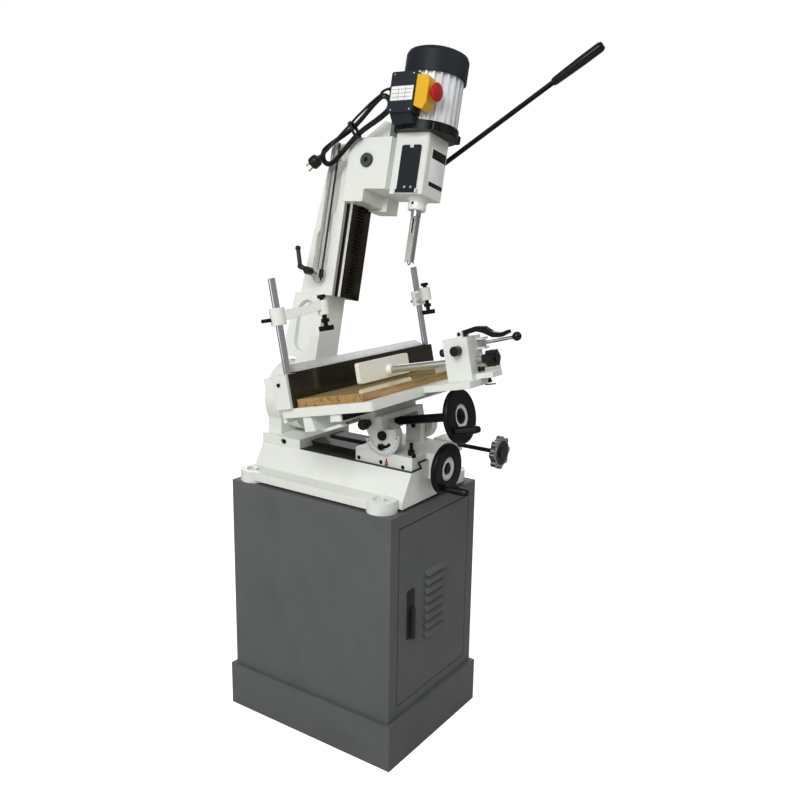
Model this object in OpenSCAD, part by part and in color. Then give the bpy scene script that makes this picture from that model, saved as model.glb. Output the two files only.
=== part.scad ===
// Floor-standing hollow-chisel mortiser with a tilting column and a tilting table.
// Millimetres. Origin on the floor under the middle of the cabinet, +X to the operator's
// right, -Y to the front, +Z up.

/* [Cabinet] */
// Width of the cabinet
cabinet_w = 426; // [400:1:480]
// Depth of the cabinet
cabinet_d = 560; // [545:1:620]
// Height of the cabinet's top
cabinet_h = 708; // [600:1:780]
// Height of the plinth
plinth_h = 131; // [100:1:150]
// How far the plinth stands out past the cabinet
plinth_step = 12; // [6:1:25]
// Thickness of the sheet metal
sheet = 3; // [2:0.5:4]
// Depth of the folded frame round the door
frame_depth = 22; // [21:1:30]
// Frame left bare round the door opening
door_margin = 36; // [30:1:45]
// Gap round the door
door_gap = 3; // [2.9:0.1:4]
// Number of louvres in the door
louvre_count = 8; // [4:1:9]

/* [Base] */
// Height of the base casting
base_h = 97; // [90:1:110]
// Distance of the front feet ahead of the middle
foot_front = 220; // [205:1:230]
// Distance of the back feet behind the middle
foot_back = 230; // [215:1:240]
// Radius of a foot
foot_r = 42; // [36:1:46]
// Half the width of the dovetail at its foot
way_half = 60; // [55:1:65]
// Height of the cross dovetail
way_h = 18; // [16:1:20]
// Radius of the fixing bolts
bolt_r = 6; // [5:0.5:7]

/* [Table] */
// Table tilt as drawn, front edge up
table_tilt = 12; // [0:1:18]
// Left end of the table
table_left = -290; // [-310:1:-280]
// Right end of the table
table_right = 372; // [350:1:380]
// Thickness of the table plate
table_t = 24; // [22:1:26]
// Thickness of the wooden board
board_t = 21; // [16:1:26]
// Height of the fence above the table
fence_h = 88; // [80:1:100]
// Radius of the hold-down posts
post_r = 9.5; // [8:0.5:11]
// Height of the hold-down posts above the table
post_h = 334; // [320:1:350]
// Height of the hold-down arms above the table
arm_z = 238; // [200:1:260]
// Reach of the hold-down arms
arm_reach = 127; // [110:1:135]
// Angle of the left hold-down arm from the fence line
left_swing = 27; // [20:1:60]
// Angle of the right hold-down arm from the fence line
right_swing = 45; // [20:1:60]
// Teeth of the table pinion
table_teeth = 20; // [18:1:20]
// Gear module of the table pinion
table_module = 2; // [1.8:0.1:2]
// Radius of the upper handwheel
upper_wheel_r = 74; // [65:1:74]
// Radius of the lower handwheel
lower_wheel_r = 70; // [60:1:74]

/* [Column] */
// Column tilt as drawn, to the right
column_tilt = 13; // [-30:1:30]
// Half the width of the upper column
column_half = 45; // [43:1:47]
// Height of the column's shoulder above its pivot
shoulder_s = 300; // [280:1:315]
// Height of the column's top above its pivot
column_top = 735; // [735:1:760]
// Radius of the swivel flange
swivel_r = 96; // [92:0.5:96]
// Teeth of the feed pinion
feed_teeth = 32; // [30:1:32]
// Gear module of the feed pinion
feed_module = 3; // [2.8:0.1:3]

/* [Head] */
// Half the width of the head
head_half = 75; // [72:1:80]
// Half the width of the nose
nose_half = 53; // [50:1:56]
// Side of the square chisel
chisel_side = 19; // [16:0.5:22]
// Length of the square part of the chisel
chisel_len = 132; // [110:1:150]
// Radius of the motor over its ribs
motor_r = 80; // [76:1:81]
// Number of ribs on the motor
rib_count = 24; // [20:2:40]
// Radius of the fan cowl
cowl_r = 87; // [86:1:91]
// Radius of the feed lever's rod
lever_r = 7; // [6:0.5:8]

/* [Cord] */
// Diameter of the mains cord
cord_d = 7; // [6:0.5:7]

/* [Hidden] */
$fn = 64;

// Clearances
slide_gap = 0.4;    // between sliding faces
run_gap = 0.05;     // radial, shaft in its bore
bolt_gap = 0.3;     // radial, bolt in its hole
seat_gap = 0.3;     // between faces that turn on each other
bite = 1;           // overlap of shapes joined into one solid

// Colours
cast_white = "#e4e6de";
cabinet_grey = "#5c5f60";
steel = "#b9bcbe";
dark_steel = "#4a4845";
black = "#222426";

// Cabinet
half_w = cabinet_w / 2;
half_d = cabinet_d / 2;
front_y = -half_d;
open_half = half_w - door_margin;
open_low = plinth_h + door_margin - door_gap;
open_high = cabinet_h - door_margin;
door_half = open_half - door_gap;
door_low = open_low + door_gap;
door_high = open_high - door_gap;
door_t = frame_depth - 2;
pivot_inset = 6.5;
pivot_x = door_half - pivot_inset;
pivot_y = front_y + pivot_inset;
pivot_r = 4;
pivot_len = 14;
lock_x = 58 - door_half;
lock_z = plinth_h + 281;
lock_r = 5;
tongue_len = 72;
louvre_w = 94;
louvre_pitch = 26;
louvre_low = plinth_h + 185;

// Base casting
base_top = cabinet_h + base_h;
flange_low = cabinet_h + 8;
flange_top = cabinet_h + 33;
base_front = -272;
base_back = 252;
deck_half = 112;
skirt_half = 152;
screw_z = base_top - 7;
screw_r = 8;
channel_half = 18;
way_back = 104;
way_flare = 12;
foot_inset = 1;
flange_inset = 10;
foot_x = half_w - foot_r - foot_inset;
flange_half = half_w - flange_inset;
feet = [[-foot_x, -foot_front], [foot_x, -foot_front], [-foot_x, foot_back], [foot_x, foot_back]];
recess_z = flange_top - 8;

// Column pivot
tilt_z = base_top + 125;
slab_top = base_top + 27;
foot_y0 = 150;
foot_y1 = 200 - seat_gap;
disc_y1 = 250;
pin_r = 14;
stud_r = 6;
stud_ring = 72;

// Saddle and table pivot
saddle_half = 100;
saddle_y0 = -265;
saddle_y1 = -80;
saddle_top = base_top + 37;
table_y = -170;
table_z = saddle_top + 46;
cheek_in = 72;
cheek_out = 101;
cheek_r = 45;
lug_in = 45;
lug_out = 70;
lug_r = 24;
pivot_stud_r = 8;
lock_rod = [136, base_top + 23];
lock_rod_r = 6;
wheel_y = -309;
dish_r = 34;
hub_back = 11;
bracket_y0 = -291;
bracket_y1 = base_front - 1;

// Table, in its own tilted frame
top_z = 115;
under_z = top_z - table_t;
plate_z0 = 36;
plate_z1 = 50;
rail = [20, 64, 74, 10];
rail_top = 90;
leg_low = 52;
shaft_z = 22;
shaft_r = 12;
table_pitch_r = table_module * table_teeth / 2;
pinion_y0 = 78;
pinion_y1 = 98;
feed_wheel_y = -184;
left_post_x = table_left + 11;
right_post_x = table_right - 5;
board_top = top_z + board_t;
fence_y = 115;
fence_t = 9;
fence_top = top_z + fence_h;
vise_x = 22;
rod_z = 163;
rod_r = 10.5;
rod_front = -278;
vise_y0 = -250;
vise_y1 = -176;
vise_top = 226;
shelf_low = 98;
cam_y = -216;
cam_z = 234;
lever_pin_x = 41;
lever_pin_y = -260;
side_knob_y = -219;
side_knob_z = 194;

// Column and head, in the tilted frame whose origin is the pivot
way_y0 = 74;
way_y1 = 104;
neck_half = 33;
way_low = shoulder_s - 2;
pinion_y = 22;
pinion_s = 677;
feed_pitch_r = feed_module * feed_teeth / 2;
rack_y = pinion_y + feed_pitch_r;
rack_half = 14;
bar_x0 = -66;
bar_x1 = -58;
bar_y0 = 138;
bar_y1 = 162;
bar_s0 = 333;
bar_s1 = column_top;
stop_s = 357;
stop_reach = 60;
stop_face = 6;
head_low = 563;
head_top = 741;
head_back = 90;
nose_y0 = -156;
nose_y1 = -51;
nose_low = 590;
head_step = nose_low + 8;
nose_top = head_top + 16;
spindle_y = -114;
neck_low = nose_low - 35;
shank_r = 14;
chuck_low = nose_low + 25;
bit_r = 5;
hinge_x = -nose_half - 4.5;
hinge_s = nose_low + 7;
cover_top = nose_top - 35;
cover_y0 = -138;
cover_y1 = -76;
flange_s = nose_top;
flange_r = motor_r + 5;
flange_lug_r = 13;
body_s = flange_s + 25;
cowl_s = body_s + 140;
motor_top = cowl_s + 66;
rotor_r = 39;
rotor_shaft_r = 9;
box_x0 = -122;
box_x1 = -84;
box_y0 = -137;
box_y1 = -57;
box_s0 = body_s + 7;
box_s1 = box_s0 + 108;
button_x = -100;
button_s = box_s0 + 54;
gland_x = -95;
gland_s = box_s0 + 74;
gland_len = 24;

// Small shape helpers
module block(lo, hi) {
    translate(lo)
        cube(hi - lo);
}

module cyl_x(x0, x1, y, z, r) {
    translate([x0, y, z])
        rotate([0, 90, 0])
            cylinder(r = r, h = x1 - x0);
}

module cyl_y(y0, y1, x, z, r) {
    translate([x, y1, z])
        rotate([90, 0, 0])
            cylinder(r = r, h = y1 - y0);
}

module cyl_z(z0, z1, x, y, r) {
    translate([x, y, z0])
        cylinder(r = r, h = z1 - z0);
}

module hex_z(z0, z1, x, y, r) {
    translate([x, y, z0])
        cylinder(r = r, h = z1 - z0, $fn = 6);
}

module hex_y(y0, y1, x, z, r) {
    translate([x, y1, z])
        rotate([90, 0, 0])
            cylinder(r = r, h = y1 - y0, $fn = 6);
}

// An outline in Y and Z, drawn out along X
module draw_x(x0, x1) {
    translate([x0, 0, 0])
        rotate([90, 0, 90])
            linear_extrude(x1 - x0)
                children();
}

// An outline in X and Z, drawn out along Y
module draw_y(y0, y1) {
    translate([0, y1, 0])
        rotate([90, 0, 0])
            linear_extrude(y1 - y0)
                children();
}

// An outline in X and Y, drawn up along Z
module draw_z(z0, z1) {
    translate([0, 0, z0])
        linear_extrude(z1 - z0)
            children();
}

module rod(a, b, r) {
    v = b - a;
    translate(a)
        rotate([0, acos(v[2] / norm(v)), atan2(v[1], v[0])])
            cylinder(r = r, h = norm(v));
}

module round_rect(lo, hi, r) {
    translate(lo + [r, 0])
        square([hi[0] - lo[0] - 2 * r, hi[1] - lo[1]]);
    translate(lo + [0, r])
        square([hi[0] - lo[0], hi[1] - lo[1] - 2 * r]);
    for (x = [lo[0] + r, hi[0] - r], y = [lo[1] + r, hi[1] - r])
        translate([x, y])
            circle(r);
}

// A slot with round ends between two points
module slot_2d(a, b, r) {
    v = b - a;
    translate(a) {
        circle(r);
        rotate(atan2(v[1], v[0]))
            translate([0, -r])
                square([norm(v), 2 * r]);
    }
    translate(b)
        circle(r);
}

// Gear outline with straight-sided teeth, one tooth on +X
tooth_share = 0.42;
function gear_points(m, n) = let (r = m * n / 2, p = 360 / n, w = p * tooth_share)
    [for (i = [0:n - 1], k = [0:3])
        let (a = i * p + [-0.72, -0.28, 0.28, 0.72][k] * w,
             q = (k == 0 || k == 3) ? r - 1.25 * m : r + m)
        [q * cos(a), q * sin(a)]];

// Rack outline along X with its pitch line at 0 and its teeth towards +Y
function rack_points(m, low, high, back) = let (p = PI * m, w = p * tooth_share / 2,
        t = m * tan(20), first = ceil(low / p), last = floor(high / p) - 1)
    concat([[low, -back], [low, -1.25 * m]],
        [for (i = [first:last], k = [0:3])
            let (c = (i + 0.5) * p)
            [c + [-w - 1.25 * t, -w + t, w - t, w + 1.25 * t][k], [-1.25, 1, 1, -1.25][k] * m]],
        [[high, -1.25 * m], [high, -back]]);

module in_column() {
    translate([0, 0, tilt_z])
        rotate([0, column_tilt, 0])
            children();
}

module in_table() {
    translate([0, table_y, table_z])
        rotate([-table_tilt, 0, 0])
            children();
}

// Cabinet
module plinth() {
    x = half_w + plinth_step;
    y = half_d + plinth_step;
    ledge = 30;
    color(cabinet_grey)
        difference() {
            block([-x, -y, 0], [x, y, plinth_h]);
            block([sheet - x, sheet - y, sheet], [x - sheet, y - sheet, plinth_h - sheet]);
            block([ledge - half_w, ledge - half_d, plinth_h - sheet - bite],
                [half_w - ledge, half_d - ledge, plinth_h + bite]);
        }
}

module cabinet_shell() {
    color(cabinet_grey)
        difference() {
            block([-half_w, -half_d, plinth_h], [half_w, half_d, cabinet_h]);
            block([sheet - half_w, front_y + frame_depth, plinth_h - bite],
                [half_w - sheet, half_d - sheet, cabinet_h - sheet]);
            block([-open_half, front_y - bite, open_low],
                [open_half, front_y + frame_depth + bite, open_high]);
            for (f = feet)
                cyl_z(cabinet_h - sheet - bite, cabinet_h + bite, f[0], f[1], bolt_r + bolt_gap);
            cyl_z(open_low - pivot_len, open_low + bite, pivot_x, pivot_y, pivot_r + run_gap);
            cyl_z(open_high - bite, open_high + pivot_len, pivot_x, pivot_y, pivot_r + run_gap);
        }
}

module louvre_hood() {
    out = 6;
    tall = 14;
    draw_x(-louvre_w / 2, louvre_w / 2)
        polygon([[bite, 0], [-out, 0], [-out, 2], [0, tall], [bite, tall]]);
}

module cabinet_door() {
    hinge_block = 16;
    hinge_tall = 30;
    vent = 5;
    color(cabinet_grey) {
        difference() {
            union() {
                difference() {
                    block([-door_half, front_y, door_low], [door_half, front_y + door_t, door_high]);
                    block([sheet - door_half, front_y + sheet, door_low + sheet],
                        [door_half - sheet, front_y + door_t + bite, door_high - sheet]);
                }
                for (z = [door_low, door_high - hinge_tall])
                    block([door_half - hinge_block, front_y, z],
                        [door_half, front_y + door_t, z + hinge_tall]);
                cyl_z(door_low - pivot_len + 2, door_low + bite, pivot_x, pivot_y, pivot_r);
                cyl_z(door_high - bite, door_high + pivot_len - 2, pivot_x, pivot_y, pivot_r);
                for (i = [0:louvre_count - 1])
                    translate([0, front_y, louvre_low + i * louvre_pitch])
                        louvre_hood();
            }
            for (i = [0:louvre_count - 1])
                translate([0, front_y, louvre_low + i * louvre_pitch])
                    block([2 - louvre_w / 2, -4, -bite], [louvre_w / 2 - 2, sheet + bite, vent]);
            cyl_y(front_y - bite, front_y + sheet + bite, lock_x, lock_z, lock_r + run_gap);
        }
    }
}

module lock_handle() {
    grip_t = 8;
    stand_off = 4;
    tongue_t = 4;
    back = front_y + frame_depth + 1.5;
    color(black) {
        translate([lock_x, 0, lock_z]) {
            cyl_y(front_y - stand_off - grip_t, back + tongue_t, 0, 0, lock_r);
            draw_y(front_y - stand_off - grip_t, front_y - stand_off)
                slot_2d([0, -62], [0, 18], 7);
            draw_y(back, back + tongue_t)
                slot_2d([0, 0], [0, tongue_len - 8], 8);
        }
    }
}

// Base
module base_casting() {
    pocket = 24;
    color(cast_white)
        difference() {
            union() {
                for (f = feet)
                    cyl_z(cabinet_h, flange_top, f[0], f[1], foot_r);
                draw_z(flange_low, flange_top)
                    round_rect([-flange_half, base_front + 17], [flange_half, base_back + 13], 30);
                draw_y(base_front, base_back)
                    polygon([[-skirt_half, flange_low], [-skirt_half, flange_top - 6],
                        [-deck_half, base_top], [deck_half, base_top],
                        [skirt_half, flange_top - 6], [skirt_half, flange_low]]);
                draw_y(base_front, way_back)
                    way_outline(0);
            }
            difference() {
                draw_y(base_front + 32, base_back - 17)
                    polygon([[-125, flange_low - bite], [-125, flange_top - 6],
                        [-92, base_top - 20], [92, base_top - 20],
                        [125, flange_top - 6], [125, flange_low - bite]]);
                block([-channel_half - 4, -162, screw_z - 18], [channel_half + 4, -118, base_top]);
            }
            difference() {
                block([-channel_half, base_front - bite, screw_z - 14],
                    [channel_half, way_back + bite, base_top + way_h + bite]);
                block([-channel_half - bite, -160, screw_z - 18],
                    [channel_half + bite, -120, base_top + way_h - 4]);
            }
            cyl_y(-165, -115, 0, screw_z, screw_r + run_gap);
            for (f = feet) {
                cyl_z(recess_z, flange_top + bite, f[0], f[1], pocket);
                cyl_z(cabinet_h - bite, flange_top, f[0], f[1], bolt_r + bolt_gap);
            }
        }
}

// Outline of the cross dovetail, grown by a clearance
module way_outline(gap) {
    polygon([[-way_half - gap, base_top - bite], [-way_half - gap, base_top],
        [-way_half - way_flare - gap, base_top + way_h + gap],
        [way_half + way_flare + gap, base_top + way_h + gap],
        [way_half + gap, base_top], [way_half + gap, base_top - bite]]);
}

module frame_bolts() {
    head_h = 8;
    washer_t = 2;
    nut_h = 11;
    pin_head = 22;
    under = cabinet_h - sheet;
    color(black) {
        for (f = feet) {
            cyl_z(recess_z, recess_z + washer_t, f[0], f[1], bolt_r * 2.2);
            hex_z(recess_z + washer_t, recess_z + washer_t + head_h, f[0], f[1], bolt_r * 1.7);
            cyl_z(under - nut_h - 4, recess_z + bite, f[0], f[1], bolt_r);
            hex_z(under - nut_h, under, f[0], f[1], bolt_r * 1.7);
        }
        cyl_y(foot_y0 - 16, foot_y0 - seat_gap, 0, tilt_z, pin_head);
        cyl_y(foot_y0 - bite, disc_y1 + 14, 0, tilt_z, pin_r);
        hex_y(disc_y1, disc_y1 + 12, 0, tilt_z, pin_head);
        for (x = [-stud_ring, stud_ring]) {
            cyl_y(foot_y0 - 4 - seat_gap, foot_y0 - seat_gap, x, tilt_z, stud_r * 2.4);
            hex_y(foot_y0 - 14, foot_y0 - 4, x, tilt_z, stud_r * 1.7);
            cyl_y(foot_y0 - 17, disc_y1 - 6, x, tilt_z, stud_r);
        }
    }
}

module pedestal() {
    color(cast_white)
        difference() {
            union() {
                block([-113, 110, base_top], [113, base_back, slab_top]);
                cyl_y(foot_y1 + seat_gap, disc_y1, 0, tilt_z, swivel_r + 9);
                block([-90, foot_y1 + seat_gap, slab_top - bite], [90, disc_y1, tilt_z]);
            }
            cyl_y(foot_y1, disc_y1 + bite, 0, tilt_z, pin_r + bolt_gap);
            for (x = [-stud_ring, stud_ring])
                cyl_y(foot_y1, disc_y1 - 5, x, tilt_z, stud_r + bolt_gap);
            cyl_x(-114, -88, 175, (base_top + slab_top) / 2, 7);
        }
}

// Cross slide
module saddle() {
    low = base_top + slide_gap;
    lug_x = lock_rod[0] + 20;
    color(cast_white)
        difference() {
            union() {
                block([-saddle_half, saddle_y0, low], [saddle_half, saddle_y1, saddle_top]);
                block([-32, bracket_y0, screw_z - 26], [32, bracket_y1, saddle_top]);
                block([-32, bracket_y1 - bite, low], [32, saddle_y0 + bite, saddle_top]);
                block([saddle_half - bite, saddle_y0, low + 2], [lug_x, saddle_y0 + 60, saddle_top + 4]);
                for (s = [-1, 1])
                    draw_x(s > 0 ? lug_in : -lug_out, s > 0 ? lug_out : -lug_in) {
                        translate([table_y, table_z])
                            circle(lug_r);
                        translate([table_y - lug_r, saddle_top - bite])
                            square([2 * lug_r, table_z - saddle_top + bite]);
                    }
            }
            draw_y(bracket_y1, saddle_y1 + bite)
                way_outline(slide_gap);
            cyl_y(bracket_y0 - bite, bracket_y1 + bite, 0, screw_z, screw_r + run_gap);
            cyl_y(saddle_y0 - bite, saddle_y0 + 61, lock_rod[0], lock_rod[1], lock_rod_r + run_gap);
            cyl_x(-lug_out - bite, lug_out + bite, table_y, table_z, pivot_stud_r + run_gap);
            cyl_z(saddle_top - 14, saddle_top + bite, -78, -247, 5 + run_gap);
        }
}

module pivot_studs() {
    head_t = 6;
    head_r = 13;
    color(black)
        for (s = [-1, 1])
            mirror([s > 0 ? 1 : 0, 0, 0]) {
                cyl_x(-cheek_out - seat_gap - head_t, -cheek_out - seat_gap, table_y, table_z, head_r);
                cyl_x(-cheek_out - bite, -lug_in, table_y, table_z, pivot_stud_r);
            }
}

module cross_screw() {
    collar = 12;
    color(steel) {
        cyl_y(wheel_y - 5, -20, 0, screw_z, screw_r);
        cyl_y(bracket_y0 - 6, bracket_y0 - seat_gap, 0, screw_z, collar + 4);
        cyl_y(bracket_y1 + seat_gap, bracket_y1 + 7, 0, screw_z, collar - 1);
    }
}

// Handwheel about the -Y axis with a stud for its crank grip at the angle given
crank_stud_r = 5;
crank_stud_len = 70;
module handwheel(wheel_r, bore_r, crank_ring, crank_angle) {
    face = 9;
    hub_r = bore_r + 8;
    inner = wheel_r - 12;
    difference() {
        union() {
            rotate([90, 0, 0])
                rotate_extrude()
                    polygon([[bore_r - 1, -hub_back], [dish_r + 5, -hub_back], [dish_r + 5, face - 5],
                        [inner, face - 5], [inner, -face], [wheel_r - 5, -face],
                        [wheel_r - 1.5, 2.5 - face], [wheel_r, 6 - face], [wheel_r, face - 6],
                        [wheel_r - 1.5, face - 2.5], [wheel_r - 5, face], [dish_r, face],
                        [dish_r, 4 - hub_back], [hub_r, 4 - hub_back], [hub_r, 0], [bore_r - 1, 0]]);
            rotate([0, crank_angle, 0])
                translate([crank_ring, 0, 0]) {
                    cyl_y(-6, 4, 0, 0, 10);
                    cyl_y(-9 - crank_stud_len, 0, 0, 0, crank_stud_r);
                    cyl_y(-9 - crank_stud_len - 3, -9 - crank_stud_len, 0, 0, crank_stud_r + 3);
                }
        }
        cyl_y(-30, 30, 0, 0, bore_r);
    }
}

// Turned grip that spins on a handwheel's stud
module crank_grip(crank_ring, crank_angle) {
    rotate([0, crank_angle, 0])
        translate([crank_ring, -9 - seat_gap, 0])
            rotate([90, 0, 0])
                difference() {
                    rotate_extrude()
                        polygon([[0, 0], [8, 0], [10, 6], [11.5, 40], [10.5, 62], [9, 69], [0, 69]]);
                    cylinder(r = crank_stud_r + run_gap, h = 200, center = true);
                }
}

lower_crank = [lower_wheel_r - 18, 116];
upper_crank = [upper_wheel_r - 18, 148];

module at_lower_wheel() {
    translate([0, wheel_y, screw_z])
        children();
}

module at_upper_wheel() {
    in_table()
        translate([0, feed_wheel_y, shaft_z])
            children();
}

module cross_handwheel() {
    color(black)
        at_lower_wheel()
            handwheel(lower_wheel_r, screw_r + run_gap, lower_crank[0], lower_crank[1]);
}

module cross_crank() {
    color(black)
        at_lower_wheel()
            crank_grip(lower_crank[0], lower_crank[1]);
}

// Round knob with finger lobes, along -Y from the origin
module lobed_knob(r, thick, lobes, hub_r) {
    rotate([90, 0, 0]) {
        translate([0, 0, -12])
            cylinder(r = hub_r, h = thick + 12);
        translate([0, 0, 2])
            cylinder(r = r, h = thick - 5);
        for (i = [0:lobes - 1])
            rotate(i * 360 / lobes)
                translate([r * 0.95, 0, 3])
                    cylinder(r = r * 0.26, h = thick - 7);
    }
}

module slide_lock_knob() {
    knob_y = -385;
    color(black) {
        cyl_y(knob_y - 2, saddle_y0 + 50, lock_rod[0], lock_rod[1], lock_rod_r);
        translate([lock_rod[0], knob_y, lock_rod[1]])
            lobed_knob(39, 22, 8, 16);
    }
}

module saddle_lock_lever() {
    pivot = [0, 0, 8];
    arm = [-34, -30, 4];
    color(black)
        translate([-78, -247, saddle_top]) {
            cyl_z(-12, 34, 0, 0, 5);
            cyl_z(seat_gap, 14, 0, 0, 9);
            rod(pivot, pivot + arm, 4);
            rod(pivot + 0.82 * arm, pivot + 1.14 * arm, 6);
        }
}

// Tilting bracket
module trunnion() {
    web_y = -4;
    shoulder_z = 14;
    color(cast_white)
        in_table()
            difference() {
                union() {
                    for (x = [-cheek_out, cheek_in])
                        draw_x(x, x + cheek_out - cheek_in) {
                            difference() {
                                circle(cheek_r);
                                translate([-2 * cheek_r, shoulder_z])
                                    square([2 * cheek_r + web_y, 2 * cheek_r]);
                            }
                            polygon([[web_y, 0], [cheek_r, 0], [58, plate_z0 + bite],
                                [web_y, plate_z0 + bite]]);
                        }
                    block([-cheek_out, web_y, plate_z0], [cheek_out, rail[1], plate_z1 + bite / 2]);
                    draw_x(-cheek_out, cheek_out)
                        polygon([[rail[0], plate_z1], [rail[1], plate_z1], [rail[2], rail_top],
                            [rail[3], rail_top]]);
                    block([-26, rail[0], shaft_z - 18], [26, rail[1], plate_z0 + bite]);
                }
                cyl_y(rail[0] - bite, rail[1] + bite, 0, shaft_z, shaft_r + run_gap);
                cyl_x(-cheek_out - bite, cheek_out + bite, 0, 0, pivot_stud_r + run_gap);
            }
}

module tilt_scale() {
    in_r = 40;
    out_r = 56;
    plate = 3;
    color("white")
        in_table()
            draw_x(-cheek_out - plate, -cheek_out)
                difference() {
                    circle(out_r);
                    circle(in_r);
                    translate([-out_r - bite, -4])
                        square([2 * out_r + 2 * bite, out_r + 8]);
                }
}

module feed_shaft() {
    color(black)
        in_table() {
            cyl_y(feed_wheel_y - 5, pinion_y1 + 4, 0, shaft_z, shaft_r);
            cyl_y(feed_wheel_y - 6, feed_wheel_y - seat_gap, 0, shaft_z, shaft_r + 5);
            translate([0, 0, shaft_z])
                draw_y(pinion_y0, pinion_y1)
                    rotate(90)
                        polygon(gear_points(table_module, table_teeth));
        }
}

module feed_handwheel() {
    color(black)
        at_upper_wheel()
            handwheel(upper_wheel_r, shaft_r + run_gap, upper_crank[0], upper_crank[1]);
}

module feed_crank() {
    color(black)
        at_upper_wheel()
            crank_grip(upper_crank[0], upper_crank[1]);
}

// Table
module table() {
    shelf_x0 = -60;
    shelf_x1 = 60;
    color(cast_white)
        in_table()
            difference() {
                union() {
                    draw_z(under_z, top_z)
                        round_rect([table_left, -125], [table_right, 170], 10);
                    block([table_left + 5, -22, 72], [table_right - 4, rail[2] / 2, under_z + bite]);
                    block([table_left + 5, rail[2] / 2, leg_low], [table_right - 4, 102, under_z + bite]);
                    block([table_left + 5, 158, 78], [table_right - 4, 170, under_z + bite]);
                    draw_z(shelf_low, top_z)
                        round_rect([shelf_x0, -264], [shelf_x1, -120], 8);
                }
                draw_x(table_left - bite, table_right + bite)
                    polygon([[rail[0] - slide_gap, plate_z1 - 2], [rail[1] + slide_gap, plate_z1 - 2],
                        [rail[1] + slide_gap, plate_z1], [rail[2] + slide_gap, rail_top + slide_gap],
                        [rail[3] - slide_gap, rail_top + slide_gap], [rail[0] - slide_gap, plate_z1]]);
            }
}

module table_rack() {
    reach = 150;
    pitch_z = shaft_z + table_pitch_r;
    color(dark_steel)
        in_table()
            translate([0, 0, pitch_z])
                draw_y(pinion_y0, pinion_y1)
                    mirror([0, 1])
                        polygon(rack_points(table_module, -reach, reach, leg_low - pitch_z));
}

module table_board() {
    color("#b9804c")
        in_table()
            block([table_left + 8, -98, top_z], [table_right - 9, fence_y - seat_gap, board_top]);
}

module fence_casting() {
    back = fence_y + fence_t;
    holder = 20;
    color(cast_white)
        in_table()
            difference() {
                union() {
                    for (x = [left_post_x, right_post_x])
                        block([x - holder, back, top_z], [x + holder, 172, fence_top]);
                    block([left_post_x, back + 8, top_z], [right_post_x, back + 26, fence_top - 24]);
                    block([left_post_x - 16, 170, fence_top - 40], [left_post_x + 12, 205, fence_top - 4]);
                }
                for (x = [left_post_x, right_post_x])
                    cyl_z(top_z + 4, fence_top + bite, x, hold_y, post_r + run_gap);
            }
}

module fence_face() {
    lip = 36;
    lip_t = 3;
    color(dark_steel)
        in_table() {
            block([table_left, fence_y, top_z + 1], [table_right, fence_y + fence_t - 0.1, fence_top]);
            block([left_post_x + 22, fence_y, fence_top - bite],
                [right_post_x - 22, fence_y + lip, fence_top + lip_t]);
        }
}

// Hold-downs
hold_y = fence_y + fence_t + 10;
arm_s = top_z + arm_z;

module post(x) {
    color(steel)
        in_table()
            difference() {
                cyl_z(top_z + 4 + seat_gap, top_z + post_h, x, hold_y, post_r);
                cyl_z(top_z + post_h - 3, top_z + post_h + bite, x, hold_y, post_r * 0.3);
            }
}

module at_arm(x, side) {
    in_table()
        translate([x, hold_y, arm_s])
            rotate([0, 0, side > 0 ? -left_swing : 180 + right_swing])
                children();
}

module hold_arm(x, side) {
    collar_r = 20;
    tip_r = 15;
    color(cast_white)
        at_arm(x, side)
            difference() {
                union() {
                    cyl_z(-24, 20, 0, 0, collar_r);
                    draw_y(-12, 12)
                        polygon([[0, -16], [arm_reach, 0], [arm_reach, 24], [arm_reach - 24, 24],
                            [arm_reach - 40, 14], [0, 14]]);
                    cyl_z(-14, 24, arm_reach, 0, tip_r);
                }
                cyl_z(-30, 40, 0, 0, post_r + run_gap);
                cyl_z(-30, 40, arm_reach, 0, foot_screw_r + run_gap);
            }
}

foot_screw_r = 6;
module foot_screw(x, side) {
    color(black)
        at_arm(x, side)
            translate([arm_reach, 0, 0]) {
                cyl_z(-44, 30, 0, 0, foot_screw_r);
                cyl_z(-34, -24, 0, 0, 11);
                cyl_z(-56, -44 + bite, 0, 0, 20);
                cyl_z(30 - bite, 38, 0, 0, 11);
            }
}

module arm_lock(x, side) {
    color(black)
        at_arm(x, side) {
            cyl_x(-44, -20 - seat_gap, 0, -8, 5);
            cyl_y(-18, 18, -37, -8, 3.5);
        }
}

module left_post() {
    post(left_post_x);
}

module right_post() {
    post(right_post_x);
}

module left_arm() {
    hold_arm(left_post_x, 1);
}

module right_arm() {
    hold_arm(right_post_x, -1);
}

module left_foot_screw() {
    foot_screw(left_post_x, 1);
}

module right_foot_screw() {
    foot_screw(right_post_x, -1);
}

module left_arm_lock() {
    arm_lock(left_post_x, 1);
}

module right_arm_lock() {
    arm_lock(right_post_x, -1);
}

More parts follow.
